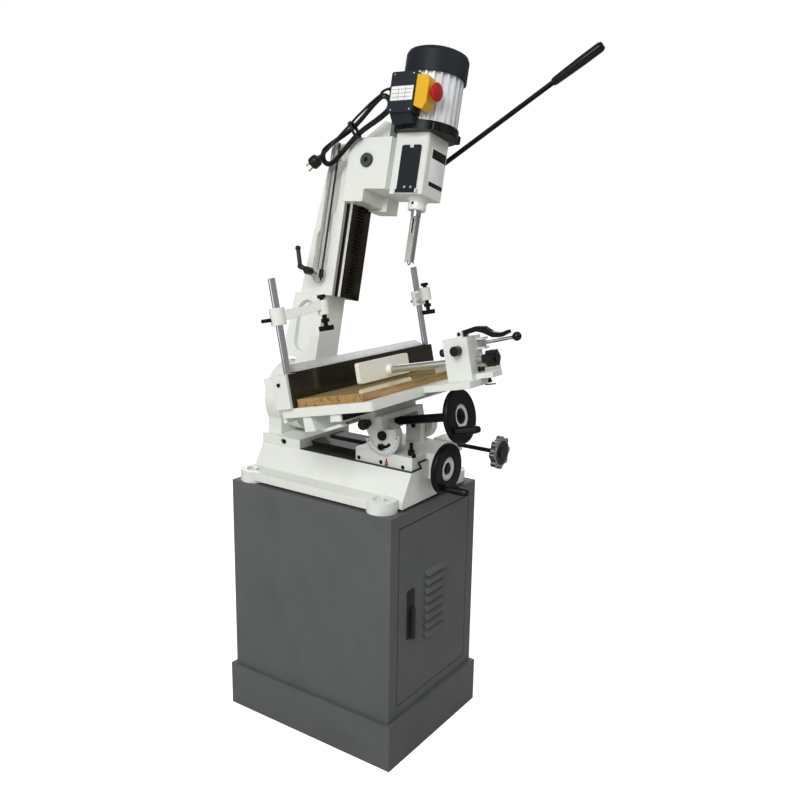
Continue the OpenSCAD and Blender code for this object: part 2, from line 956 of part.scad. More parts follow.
// Vise
module vise_block() {
    half = 39;
    right_half = 31;
    ear_gap = 10;
    color(cast_white)
        in_table()
            difference() {
                union() {
                    block([vise_x - half, vise_y0, top_z], [vise_x + right_half, vise_y1, vise_top]);
                    block([vise_x - 20, -300, top_z], [vise_x + 29, vise_y0 + bite, top_z + 14]);
                    for (x = [vise_x - ear_gap - 8, vise_x + ear_gap])
                        draw_x(x, x + 8) {
                            translate([cam_y, cam_z])
                                circle(9);
                            translate([cam_y - 9, vise_top - bite])
                                square([18, cam_z - vise_top + bite]);
                        }
                    for (z = [188, 212 + seat_gap])
                        block([lever_pin_x - 12, lever_pin_y - 12, z],
                            [lever_pin_x + 12, vise_y0 + bite, z + 6]);
                }
                cyl_y(-310, vise_y1 + bite, vise_x, rod_z, rod_r + run_gap);
                cyl_x(vise_x - 30, vise_x + 30, cam_y, cam_z, 5 + run_gap);
                cyl_z(180, 225, lever_pin_x, lever_pin_y, 4 + run_gap);
                cyl_x(vise_x - half - bite, vise_x - half + 22, side_knob_y, side_knob_z, 4 + run_gap);
            }
}

module vise_jaw() {
    jaw_left = vise_x - 134;
    jaw_right = vise_x + 98;
    jaw_y = 34;
    jaw_t = 13;
    jaw_low = board_top + 7;
    jaw_h = 56;
    color(cast_white)
        in_table() {
            draw_y(jaw_y, jaw_y + jaw_t)
                round_rect([jaw_left, jaw_low], [jaw_right, jaw_low + jaw_h], 7);
            translate([vise_x, jaw_y + bite, rod_z])
                rotate([90, 0, 0])
                    cylinder(r1 = 16, r2 = rod_r + 1, h = 12);
            cyl_y(rod_front, jaw_y, vise_x, rod_z, rod_r);
        }
}

module vise_cam_handle() {
    half = 9.5;
    color(black)
        in_table() {
            difference() {
                draw_x(vise_x - half, vise_x + half) {
                    translate([cam_y, cam_z])
                        circle(7);
                    polygon([[cam_y, cam_z - 5], [cam_y + 8, cam_z + 3], [cam_y - 4, cam_z + 8],
                        [-262, 249], [-285, 246], [-306, 230], [-330, 224], [-352, 229],
                        [-354, 221], [-330, 213], [-308, 215], [-282, 229], [-262, 236]]);
                }
            }
            cyl_x(vise_x - 18, vise_x + 18, cam_y, cam_z, 5);
        }
}

module vise_ball_lever() {
    mid = 203;
    tip = [lever_pin_x, -362, 209];
    color(steel)
        in_table() {
            cyl_z(194 + seat_gap, 212, lever_pin_x, lever_pin_y, 10);
            cyl_z(188, 218, lever_pin_x, lever_pin_y, 4);
            rod([lever_pin_x, lever_pin_y, mid], tip, 5);
            translate(tip)
                sphere(12);
        }
}

module vise_lobed_knob() {
    color(black)
        in_table()
            difference() {
                translate([vise_x, rod_front - 2, rod_z])
                    lobed_knob(19.5, 30, 6, 12);
                cyl_y(rod_front - seat_gap, rod_front + 20, vise_x, rod_z, rod_r + run_gap);
            }
}

module vise_side_knob() {
    face = vise_x - 39;
    color(black)
        in_table()
            translate([face, side_knob_y, side_knob_z])
                rotate([0, -90, 0]) {
                    cylinder(r = 13, h = 20 - seat_gap);
                    translate([0, 0, -20])
                        cylinder(r = 4, h = 22);
                }
}

// Column
module column() {
    slot_angle = 74;
    color(cast_white)
        in_column()
            difference() {
                union() {
                    cyl_y(foot_y0, foot_y1, 0, 0, swivel_r);
                    draw_y(127, foot_y1)
                        polygon([[-66, 60], [-48, 112], [-48, shoulder_s], [48, shoulder_s],
                            [48, 112], [66, 60]]);
                    draw_x(-48, 48)
                        polygon([[foot_y1 - bite, swivel_r + 16], [255, swivel_r + 16],
                            [238, shoulder_s], [foot_y1 - bite, shoulder_s]]);
                    draw_x(-column_half, column_half)
                        polygon([[way_y1, shoulder_s - bite], [way_y1, column_top],
                            [175, column_top], [221, shoulder_s - bite]]);
                    for (s = [bar_s0 + 12, bar_s1 - 13])
                        cyl_x(bar_x1, -column_half + bite, 150, s, 9);
                }
                cyl_y(foot_y0 - bite, foot_y1 + bite, 0, 0, pin_r + run_gap);
                for (a = [0, 180])
                    translate([0, foot_y1 + bite, 0])
                        rotate([90, a + slot_angle / 2, 0])
                            rotate_extrude(angle = slot_angle)
                                translate([stud_ring - stud_r - 1, 0])
                                    square([2 * stud_r + 2, foot_y1 - foot_y0 + 2 * bite]);
                for (x = [-column_half - bite, column_half - 16]) {
                    draw_x(x, x + 17)
                        slot_2d([163, shoulder_s + 60], [163, shoulder_s + 165], 26);
                    draw_x(x, x + 17)
                        slot_2d([150, shoulder_s + 250], [150, column_top - 62], 20);
                }
                for (x = [-49, 34])
                    draw_x(x, x + 15)
                        slot_2d([188, swivel_r + 66], [188, shoulder_s - 50], 30);
                for (s = [bar_s0 + 12, bar_s1 - 13])
                    cyl_x(bar_x1 - bite, -column_half, 150, s, 3);
            }
}

module feed_way_outline(gap) {
    polygon([[-column_half - gap, way_y0 - gap], [column_half + gap, way_y0 - gap],
        [column_half + gap, way_y0 + 8], [neck_half + gap, way_y1 - 6], [neck_half + gap, way_y1],
        [-neck_half - gap, way_y1], [-neck_half - gap, way_y1 - 6], [-column_half - gap, way_y0 + 8]]);
}

module column_way() {
    color(dark_steel)
        in_column() {
            draw_z(way_low, column_top)
                feed_way_outline(0);
            translate([0, rack_y, pinion_s])
                draw_x(-rack_half, rack_half)
                    rotate(90)
                        polygon(rack_points(feed_module, way_low - pinion_s + 8,
                            column_top - pinion_s, way_y0 + 4 - rack_y));
        }
}

module stop_bar() {
    color(steel)
        in_column()
            difference() {
                draw_x(bar_x0, bar_x1)
                    round_rect([bar_y0, bar_s0], [bar_y1, bar_s1], 6);
                draw_x(bar_x0 - bite, bar_x1 + bite)
                    slot_2d([150, bar_s0 + 32], [150, bar_s1 - 32], 4);
                for (s = [bar_s0 + 12, bar_s1 - 13])
                    cyl_x(bar_x0 - bite, bar_x1 + bite, 150, s, 3);
            }
}

stop_stud_r = 3.5;
module stop_block() {
    half_s = 12;
    color(black)
        in_column()
            difference() {
                block([bar_x0 - stop_face, bar_y0 - 5, stop_s - half_s],
                    [bar_x1 - 1, bar_y1 + 5, stop_s + half_s]);
                block([bar_x0 - slide_gap, bar_y0 - slide_gap, stop_s - half_s - bite],
                    [bar_x1, bar_y1 + slide_gap, stop_s + half_s + bite]);
                cyl_x(bar_x0 - stop_face - 1, bar_x0, 150, stop_s, stop_stud_r + run_gap);
            }
}

module stop_lever() {
    face = bar_x0 - stop_face;
    stud = 24;
    knee = [-stud - 18, 26, 10];
    tip = [-stud - 22, 40, stop_reach];
    color(black)
        in_column()
            translate([face - seat_gap, 150, stop_s]) {
                cyl_x(-stud, 0, 0, 0, 5);
                cyl_x(-stud - 20, bite - stud, 0, 0, 11);
                cyl_x(-1, stop_face - 1, 0, 0, stop_stud_r);
                rod([-stud - 10, 0, 0], knee, 7);
                rod(knee, tip, 6);
                translate(knee)
                    sphere(8);
                translate(tip)
                    sphere(8);
            }
}

// Head
module head() {
    pocket_r = feed_pitch_r + feed_module + 3;
    color(cast_white)
        in_column()
            difference() {
                union() {
                    draw_x(-head_half, head_half)
                        polygon([[head_back, head_low], [20, head_low], [20, head_step],
                            [nose_y1 - bite, head_step], [nose_y1 - bite, head_top],
                            [head_back, head_top]]);
                    draw_z(nose_low, nose_top)
                        polygon([[-nose_half, nose_y1], [-nose_half, nose_y0 + 5],
                            [-nose_half + 5, nose_y0], [nose_half - 5, nose_y0],
                            [nose_half, nose_y0 + 5], [nose_half, nose_y1]]);
                    block([20, 2, head_low - 7], [head_half, 66, head_step + bite]);
                    draw_x(-42, 42)
                        polygon([[78, head_top - bite], [-18, head_top - bite], [-18, nose_top + 33],
                            [4, nose_top + 39]]);
                    translate([0, spindle_y, neck_low])
                        rotate_extrude()
                            polygon([[0, 0], [23, 0], [25, 3], [25, 22], [36, nose_low - neck_low + bite],
                                [0, nose_low - neck_low + bite]]);
                    for (y = [cover_y0 - 6, cover_y1 + 1])
                        block([hinge_x - 4.5, y, hinge_s - 5], [-nose_half + bite, y + 5, hinge_s + 5]);
                }
                draw_z(head_low - 30, head_top + 70)
                    feed_way_outline(slide_gap);
                block([-rack_half - 2, rack_y - feed_module - 2, head_low - bite],
                    [rack_half + 2, way_y0, head_top + 70]);
                cyl_x(-rack_half - 3, rack_half + 3, pinion_y, pinion_s, pocket_r);
                cyl_x(-head_half - bite, head_half + bite, pinion_y, pinion_s, shaft_r + run_gap);
                cyl_z(nose_low + 12, nose_top + bite, 0, spindle_y, 32);
                cyl_z(neck_low - bite, nose_low + 13, 0, spindle_y, shank_r + run_gap);
                block([-nose_half - bite, cover_y0 + 6, nose_low + 22], [-20, cover_y1 - 6, cover_top - 14]);
                cyl_x(-40, 0, spindle_y, neck_low + 17, 4);
                cyl_y(cover_y0 - 8, cover_y1 + 8, hinge_x, hinge_s, 2.5 + run_gap);
            }
}

module pinion_shaft() {
    color(dark_steel)
        in_column()
            translate([0, pinion_y, pinion_s]) {
                cyl_x(-head_half - seat_gap - bite, head_half + 43, 0, 0, shaft_r);
                cyl_x(-head_half - 5, -head_half - seat_gap, 0, 0, 19.5);
                cyl_x(head_half + seat_gap, head_half + 15, 0, 0, 20);
                draw_x(-rack_half, rack_half)
                    polygon(gear_points(feed_module, feed_teeth));
            }
}

// Path of the feed lever's rod, in the column's frame
lever_x = head_half + 30;
lever_path = [[lever_x, pinion_y - 18, pinion_s + 4], [lever_x, -100, 706], [lever_x, -543, 1015]];
grip_len = 154;
grip_r = 13.5;
lever_dir = (lever_path[2] - lever_path[1]) / norm(lever_path[2] - lever_path[1]);

module feed_lever() {
    color(black)
        in_column() {
            difference() {
                cyl_x(head_half + 16, head_half + 43, pinion_y, pinion_s, 25);
                cyl_x(head_half, head_half + 50, pinion_y, pinion_s, shaft_r + run_gap);
            }
            rod(lever_path[0], lever_path[1], lever_r);
            translate(lever_path[1])
                sphere(lever_r + 1);
            rod(lever_path[1], lever_path[2] - lever_dir * 10, lever_r);
        }
}

module lever_grip() {
    v = lever_dir;
    color(black)
        in_column()
            translate(lever_path[2] - v * grip_len)
                rotate([0, acos(v[2]), atan2(v[1], v[0])])
                    difference() {
                        rotate_extrude()
                            polygon([[0, 0], [lever_r + 2, 0], [lever_r + 4, 6], [grip_r - 1.5, 30],
                                [grip_r, 90], [grip_r, grip_len - 8], [grip_r - 4, grip_len],
                                [0, grip_len]]);
                        translate([0, 0, -bite])
                            cylinder(r = lever_r + run_gap, h = grip_len - 9 + bite);
                    }
}

module access_cover() {
    plate = 3.5;
    outer = -nose_half - seat_gap - plate;
    color(black)
        in_column()
            difference() {
                union() {
                    draw_x(outer, outer + plate)
                        round_rect([cover_y0, hinge_s + 4], [cover_y1, cover_top], 6);
                    cyl_y(cover_y0 - 0.7, cover_y1 + 0.7, hinge_x, hinge_s, 4);
                    block([outer, cover_y0, hinge_s], [outer + plate, cover_y1, hinge_s + 14]);
                    cyl_y(cover_y0 - 5, cover_y1 + 5, hinge_x, hinge_s, 2.5);
                }
                block([outer - bite, spindle_y, cover_top - 8],
                    [outer + plate + bite, spindle_y + 14, cover_top + 1]);
            }
}

module chisel() {
    low = neck_low - 15 - chisel_len;
    half = chisel_side / 2;
    bore = half - 2;
    color(steel)
        in_column()
            translate([0, spindle_y, 0])
                difference() {
                    union() {
                        block([-half, -half, low], [half, half, neck_low - 14]);
                        cyl_z(neck_low - 15, nose_low + 10, 0, 0, shank_r);
                    }
                    cyl_z(low - bite, nose_low + 11, 0, 0, bore);
                    translate([0, 0, low - bite])
                        cylinder(r1 = half * 1.5, r2 = bore, h = 12);
                    block([-half - bite, -4, neck_low - 62], [0, 4, neck_low - 22]);
                }
}

module auger() {
    low = neck_low - 19 - chisel_len;
    color(steel)
        in_column()
            translate([0, spindle_y, low]) {
                translate([0, 0, 5])
                    cylinder(r = bit_r, h = chuck_low + 34 - low - 5);
                cylinder(r1 = 0.5, r2 = bit_r, h = 5);
            }
}

module motor_rotor() {
    color(dark_steel)
        in_column()
            translate([0, spindle_y, 0])
                difference() {
                    union() {
                        translate([0, 0, chuck_low])
                            rotate_extrude()
                                polygon([[0, 0], [11, 0], [20, 14], [22, 30], [22, 50], [0, 50]]);
                        cyl_z(chuck_low + 49, cowl_s + 34, 0, 0, rotor_shaft_r);
                        cyl_z(body_s + 20, cowl_s - 24, 0, 0, rotor_r);
                        cyl_z(cowl_s + 10, cowl_s + 34, 0, 0, 24);
                        for (i = [0:6])
                            rotate(i * 360 / 7)
                                block([20, -2, cowl_s + 10], [64, 2, cowl_s + 32]);
                    }
                    cyl_z(chuck_low - bite, chuck_low + 36, 0, 0, bit_r + run_gap);
                }
}

// Motor
module motor_flange() {
    color(black)
        in_column()
            translate([0, spindle_y, 0])
                difference() {
                    union() {
                        cyl_z(flange_s, body_s, 0, 0, flange_r);
                        for (a = [45:90:315])
                            rotate(a)
                                cyl_z(flange_s, body_s - 6, motor_r + 1, 0, flange_lug_r);
                    }
                    cyl_z(flange_s - bite, body_s + bite, 0, 0, rotor_shaft_r + run_gap);
                }
}

module motor_body() {
    rib_t = 6;
    rib_h = 7;
    end_t = 15;
    color("#c9ccce")
        in_column()
            translate([0, spindle_y, 0])
                difference() {
                    draw_z(body_s, cowl_s) {
                        circle(motor_r - rib_h);
                        for (i = [0:rib_count - 1])
                            rotate(i * 360 / rib_count)
                                translate([motor_r - rib_h - 2, -rib_t / 2])
                                    square([rib_h + 2, rib_t]);
                    }
                    cyl_z(body_s - bite, cowl_s - end_t, 0, 0, rotor_r + 1);
                    cyl_z(body_s, cowl_s + bite, 0, 0, rotor_shaft_r + run_gap);
                }
}

module fan_cowl() {
    wall = 3.5;
    skirt = 8;
    rise = motor_top - cowl_s;
    color(black)
        in_column()
            translate([0, spindle_y, cowl_s])
                difference() {
                    rotate_extrude()
                        polygon([[motor_r + seat_gap, -skirt], [cowl_r, -skirt], [cowl_r, rise - 18],
                            [cowl_r - 4, rise - 9], [cowl_r - 14, rise - 4], [0, rise],
                            [0, rise - wall], [cowl_r - 16, rise - 4 - wall],
                            [cowl_r - wall, rise - 20], [cowl_r - wall, 4], [motor_r - 8, 4],
                            [motor_r - 8, 0], [motor_r + seat_gap, 0]]);
                    for (i = [0:11])
                        rotate(i * 30)
                            block([24, -3, rise - 16], [62, 3, rise + bite]);
                }
}

module switch_box() {
    under = 22;
    color(black)
        in_column()
            difference() {
                union() {
                    draw_x(box_x0, box_x1)
                        round_rect([box_y0, box_s0], [box_y1, box_s1], 5);
                    draw_y(box_y0 + 8, box_y1 - 4)
                        polygon([[box_x0 + 3, box_s0 + 6], [box_x1, box_s0 + 6], [box_x1, box_s0 - under],
                            [box_x1 - 12, box_s0 - under]]);
                    block([box_x1 - bite, box_y0 + 8, box_s0 + 4], [-60, box_y1 - 4, box_s1 - 12]);
                }
                cyl_z(box_s0 - 40, box_s1 + 40, 0, spindle_y, motor_r + run_gap);
                cyl_z(flange_s - bite, body_s + seat_gap, 0, spindle_y, flange_r + seat_gap);
                translate([0, spindle_y, 0])
                    for (a = [45:90:315])
                        rotate(a)
                            cyl_z(flange_s - bite, body_s - 6 + seat_gap, motor_r + 1, 0,
                                flange_lug_r + seat_gap);
            }
}

button_stem_r = 8;
housing_y = box_y0 - 39;
module switch_housing() {
    half = 19;
    color("#f0b310")
        in_column()
            difference() {
                draw_x(button_x - half, button_x + half)
                    polygon([[box_y0, box_s1 - 9], [housing_y + 7, box_s1 - 13], [housing_y, box_s1 - 25],
                        [housing_y, box_s0 + 25], [housing_y + 12, box_s0 + 6], [box_y0, box_s0 + 17]]);
                cyl_y(housing_y - bite, housing_y + 24, button_x, button_s, button_stem_r + run_gap);
            }
}

module stop_button() {
    stand = 12;
    color("#c8202a")
        in_column()
            translate([button_x, housing_y, button_s])
                rotate([90, 0, 0]) {
                    translate([0, 0, -16])
                        cylinder(r = button_stem_r, h = 16 + stand + bite);
                    translate([0, 0, stand])
                        rotate_extrude()
                            polygon([[0, 0], [22, 0], [24, 3], [24, 7], [20, 11], [10, 13], [0, 13.5]]);
                }
}

// Cord: gland, hank and plug, in the column's frame
cord_r = cord_d / 2;
cord_sides = 6;
cord_start = [gland_x, box_y1 + gland_len, gland_s];

module cord_gland() {
    color(black)
        in_column()
            translate([gland_x, box_y1, gland_s])
                rotate([-90, 0, 0])
                    rotate_extrude()
                        polygon([[0, 0], [11, 0], [11, 5], [8, 8], [cord_r + 1, gland_len - 1],
                            [cord_r + 0.5, gland_len], [0, gland_len]]);
}

// The hank lies in a plane beside the head. Along is down its length, across is its width,
// and its two layers lie one beside the other along X. The cord winds in through the inner
// layer, steps out and winds out again through the outer one.
hank_turns = 3;
hank_run = 208;
hank_fold = 3 * cord_d;
hank_step = cord_d + 0.9;
hank_waist = 11;
hank_angle = -38.3;
hank_mid = [-94, 62, gland_s - 109];
along = [0, cos(hank_angle), sin(hank_angle)];
across = [0, -sin(hank_angle), cos(hank_angle)];
outward = [-1, 0, 0];
run_share = 0.34;

// Fold radius after t turns: in over the first half of the turns and out again
function hank_r(t) = let (half = hank_turns / 2)
    hank_fold + hank_step * (t < half ? half - t : max(t - half - run_share, 0));
// Layer offset, which changes along the middle run
function hank_layer(t) = hank_step * (min(max((t - hank_turns / 2) / run_share, 0), 1) - 0.5);
function hank_dip(u) = hank_waist * pow(cos(180 * u / hank_run), 2);
// Point of the hank after t turns: a run, a fold, the run back and a fold
function hank_uv(t) = let (f = t - floor(t), r = hank_r(t), h = hank_run / 2, fold = 0.5 - run_share)
    f < run_share ? let (u = -h + hank_run * f / run_share) [u, r - hank_dip(u)]
    : f < 0.5 ? let (a = 90 - 180 * (f - run_share) / fold) [h + r * cos(a), r * sin(a)]
    : f < 0.5 + run_share ? let (u = h - hank_run * (f - 0.5) / run_share) [u, hank_dip(u) - r]
    : let (a = 270 - 180 * (f - 0.5 - run_share) / fold) [-h + r * cos(a), r * sin(a)];
function hank_at(u, v, w) = hank_mid + along * u + across * v + outward * w;
function hank_point(t) = let (p = hank_uv(t)) hank_at(p[0], p[1], hank_layer(t));

// Turn shares at which rings sit: wide steps on the runs, close ones round the folds
run_shares = [for (k = [0:4]) run_share * k / 5];
fold_shares = [for (k = [0:6]) run_share + (0.5 - run_share) * k / 7];
turn_shares = concat(run_shares, fold_shares, [for (s = run_shares) s + 0.5],
    [for (s = fold_shares) s + 0.5]);
lead_in = [cord_start, cord_start + [0, cord_d, 0], cord_start + [1, 22, -6]];
hank_points = [for (k = [0:hank_turns - 1], s = turn_shares) hank_point(k + s)];

// The last run rises off the hank and crosses to its middle, where the plug hangs
tail_steps = 11;
tail_rise = 10;
tail_out = [for (k = [0:tail_steps])
    let (u = hank_run * (k / tail_steps - 0.5), lift = min(k / 4, 1), c = max((k - 4) / (tail_steps - 4), 0),
         b = c * c * (3 - 2 * c))
    hank_at(u, (hank_r(hank_turns) - hank_dip(u)) * (1 - b) - 7 * b,
        hank_step / 2 + tail_rise * lift + 15 * b)];
plug_top = tail_out[tail_steps] + along * cord_d;
cord_points = concat(lead_in, hank_points, tail_out, [plug_top]);

// Sweep of a round section along points
function unit(v) = v / norm(v);
function tangent(p, i) = unit(p[min(i + 1, len(p) - 1)] - p[max(i - 1, 0)]);
function ring(p, i, r, n) = let (t = tangent(p, i), side = unit(cross(t, outward)),
        up = cross(side, t))
    [for (k = [0:n - 1]) p[i] + r * (side * cos(k * 360 / n) + up * sin(k * 360 / n))];

module tube(p, r, n) {
    last = len(p) - 1;
    verts = [for (i = [0:last], v = ring(p, i, r, n)) v];
    walls = [for (i = [0:last - 1], k = [0:n - 1], half = [0, 1])
        let (a = i * n + k, b = i * n + (k + 1) % n)
        half == 0 ? [a, a + n, b] : [b, a + n, b + n]];
    first_cap = [for (k = [1:n - 2]) [0, k, k + 1]];
    last_cap = [for (k = [1:n - 2]) [last * n, last * n + k + 1, last * n + k]];
    polyhedron(points = verts, faces = concat(walls, first_cap, last_cap), convexity = 10);
}

// Least gap between stretches of the cord that are more than three diameters apart along it
cord_s = [for (i = 0, s = 0; i < len(cord_points); s = s + (i + 1 < len(cord_points)
    ? norm(cord_points[i + 1] - cord_points[i]) : 0), i = i + 1) s];
function closest(a, b, c) = let (v = c - b, t = min(max((a - b) * v / (v * v), 0), 1)) norm(a - b - v * t);
cord_gap = min([for (i = [0:len(cord_points) - 1], j = [0:len(cord_points) - 2])
    if (abs(cord_s[i] - cord_s[j]) > 4 * cord_d && abs(cord_s[i] - cord_s[j + 1]) > 4 * cord_d)
        closest(cord_points[i], cord_points[j], cord_points[j + 1])]) - cord_d;
echo(cord_length = cord_s[len(cord_s) - 1], cord_least_gap = cord_gap);

module cord_hank() {
    color(black)
        in_column()
            tube(cord_points, cord_r, cord_sides);
}

module cord_plug() {
    color(black)
        in_column()
            translate(plug_top)
                rotate([hank_angle - 90, 0, 0]) {
                    rotate_extrude()
                        polygon([[0, 0], [cord_r + 1, 0], [7, 12], [9, 15], [16, 18], [18, 23], [18, 38],
                            [16, 41], [0, 41]]);
                    for (y = [-9.5, 9.5])
                        translate([0, y, 40])
                            cylinder(r = 2.4, h = 19);
                }
}

plinth();
cabinet_shell();
cabinet_door();
lock_handle();
base_casting();
frame_bolts();
pedestal();
saddle();
pivot_studs();
cross_screw();
cross_handwheel();
cross_crank();
slide_lock_knob();
saddle_lock_lever();
trunnion();
tilt_scale();
feed_shaft();
feed_handwheel();
feed_crank();
table();
table_rack();
table_board();
fence_casting();
fence_face();
left_post();
right_post();
left_arm();
right_arm();
left_foot_screw();
right_foot_screw();
left_arm_lock();
right_arm_lock();
vise_block();
vise_jaw();
vise_cam_handle();
vise_ball_lever();
vise_lobed_knob();
vise_side_knob();
column();
column_way();
stop_bar();
stop_block();
stop_lever();
head();
pinion_shaft();
feed_lever();
lever_grip();
access_cover();
chisel();
auger();
motor_rotor();
motor_flange();
motor_body();
fan_cowl();
switch_box();
switch_housing();
stop_button();
cord_gland();
cord_hank();
cord_plug();
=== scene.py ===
import math

import bpy
from mathutils import Matrix, Vector


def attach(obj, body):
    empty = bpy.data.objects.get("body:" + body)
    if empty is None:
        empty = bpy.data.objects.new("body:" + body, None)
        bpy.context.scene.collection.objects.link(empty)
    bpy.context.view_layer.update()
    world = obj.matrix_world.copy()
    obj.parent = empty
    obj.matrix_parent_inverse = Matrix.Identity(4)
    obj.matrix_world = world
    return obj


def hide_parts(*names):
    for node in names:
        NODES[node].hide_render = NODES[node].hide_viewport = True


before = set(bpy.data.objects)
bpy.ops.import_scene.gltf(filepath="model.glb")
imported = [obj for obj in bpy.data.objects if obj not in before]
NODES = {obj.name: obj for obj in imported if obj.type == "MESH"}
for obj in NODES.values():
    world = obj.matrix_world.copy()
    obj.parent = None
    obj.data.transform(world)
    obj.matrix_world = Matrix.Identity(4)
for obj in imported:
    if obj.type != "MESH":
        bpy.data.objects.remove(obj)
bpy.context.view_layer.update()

MM = 0.001

# The tilted frames of the column and the table, and the floor's own frame
COLUMN_TILT = math.radians(13)
TABLE_TILT = math.radians(-12)
COLUMN_FOOT = (0, 0, 0.930)
TABLE_PIVOT = (0, -0.170, 0.888)
COLUMN = Matrix.Translation(COLUMN_FOOT) @ Matrix.Rotation(COLUMN_TILT, 4, "Y")
TABLE = Matrix.Translation(TABLE_PIVOT) @ Matrix.Rotation(TABLE_TILT, 4, "X")
GROUND = Matrix.Identity(4)


def make_camera():
    """The camera at the photograph's angle."""
    data = bpy.data.cameras.new("camera")
    data.lens = 38.81
    data.sensor_width = 36
    data.clip_end = 100
    camera = bpy.data.objects.new("camera", data)
    bpy.context.scene.collection.objects.link(camera)
    right, up, back = (0.5685, -0.8225, 0.0157), (0.1682, 0.1349, 0.9763), (-0.805, -0.5525, 0.215)
    place = (-1.902, -1.460, 1.473)
    rows = [(right[i], up[i], back[i], place[i]) for i in range(3)]
    camera.matrix_world = Matrix(rows + [(0, 0, 0, 1)])
    bpy.context.scene.camera = camera


make_camera()


# Materials
def linear(code):
    """sRGB hex to a linear RGBA colour."""
    out = []
    for i in (1, 3, 5):
        c = int(code[i:i + 2], 16) / 255
        out.append(c / 12.92 if c <= 0.04045 else ((c + 0.055) / 1.055) ** 2.4)
    return (*out, 1.0)


def metres(*sizes):
    """Millimetres to metres."""
    return tuple(size * MM for size in sizes)


def spread(tones, start, end):
    """A ramp's stops: tones at even steps from start to end."""
    return [(start + (end - start) * i / max(len(tones) - 1, 1), tone) for i, tone in enumerate(tones)]


def add(tree, kind, inputs=None, stops=None, **settings):
    """One node with its settings, its linked or plain inputs, and a ramp's stops."""
    node = tree.nodes.new(kind)
    for key, value in settings.items():
        setattr(node, key, value)
    for key, value in (inputs or {}).items():
        if isinstance(value, bpy.types.NodeSocket):
            tree.links.new(value, node.inputs[key])
        else:
            node.inputs[key].default_value = value
    if stops:
        elements = node.color_ramp.elements
        while len(elements) < len(stops):
            elements.new(0.5)
        for element, (place, code) in zip(elements, stops):
            element.position = place
            element.color = linear(code)
    return node


def fresh(name):
    """An empty material and its tree."""
    material = bpy.data.materials.new(name)
    material.use_nodes = True
    material.node_tree.nodes.clear()
    return material, material.node_tree


def shaded(material, inputs):
    """The material with its shader, whose inputs are linked or plain, wired out."""
    tree = material.node_tree
    shader = add(tree, "ShaderNodeBsdfPrincipled", inputs)
    add(tree, "ShaderNodeOutputMaterial", {"Surface": shader.outputs["BSDF"]})
    return material


def paint(name, tones, rough, mottle_mm=70, grain_mm=3, grain=0.12, edge=None, edge_mm=1.2, coat=0.0,
          shade_zone=None, specular=0.5):
    """Sprayed or moulded skin: soft mottling, fine grain in the bump, eased edges that wear to edge.

    The noise scales are one over the real size. The zone given with its (hex, metallic, roughness) is painted
    shade: a dark colour put over the paint where shade falls."""
    material, tree = fresh(name)
    coords = add(tree, "ShaderNodeTexCoord").outputs["Object"]
    mottle = add(tree, "ShaderNodeTexNoise", {
        "Vector": coords, "Scale": 1 / (mottle_mm * MM), "Detail": 4.0}).outputs["Fac"]
    skin = add(tree, "ShaderNodeTexNoise", {
        "Vector": coords, "Scale": 1 / (grain_mm * MM), "Detail": 3.0}).outputs["Fac"]
    colour = add(tree, "ShaderNodeValToRGB", {"Fac": mottle}, spread(tones, 0.3, 0.7)).outputs["Color"]
    eased = add(tree, "ShaderNodeBevel", {"Radius": edge_mm * MM}, samples=4).outputs["Normal"]
    if edge:
        flat = add(tree, "ShaderNodeNewGeometry").outputs["Normal"]
        facing = add(tree, "ShaderNodeVectorMath", {0: eased, 1: flat},
                     operation="DOT_PRODUCT").outputs["Value"]
        worn = add(tree, "ShaderNodeMapRange", {"Value": facing, "From Min": 0.97, "From Max": 0.72,
                                                "To Min": 0.0, "To Max": 0.55}).outputs["Result"]
        broken = add(tree, "ShaderNodeMath", {0: worn, 1: skin}, operation="MULTIPLY").outputs["Value"]
        colour = add(tree, "ShaderNodeMix", {"Factor": broken, 6: colour, 7: linear(edge)},
                     data_type="RGBA").outputs[2]
    bump = add(tree, "ShaderNodeBump", {"Height": skin, "Strength": grain, "Distance": 0.4 * MM,
                                        "Normal": eased}).outputs["Normal"]
    gloss = add(tree, "ShaderNodeMapRange", {
        "Value": mottle, "To Min": rough[0], "To Max": rough[1]}).outputs["Result"]
    shine = 0.0
    # Painted shade: the zone's dark colour, metallic and gloss replace the paint's
    if shade_zone:
        zone, (code, metallic, dull) = shade_zone
        where = zone(tree, coords)
        colour = add(tree, "ShaderNodeMix", {"Factor": where, 6: colour, 7: linear(code)},
                     data_type="RGBA").outputs[2]
        gloss = add(tree, "ShaderNodeMix", {"Factor": where, 2: gloss, 3: dull}).outputs[0]
        shine = add(tree, "ShaderNodeMath", {0: where, 1: metallic}, operation="MULTIPLY").outputs["Value"]
    return shaded(material, {
        "Base Color": colour, "Roughness": gloss, "Metallic": shine, "Normal": bump, "IOR": 1.5,
        "Specular IOR Level": specular, "Coat Weight": coat, "Coat Roughness": 0.12})


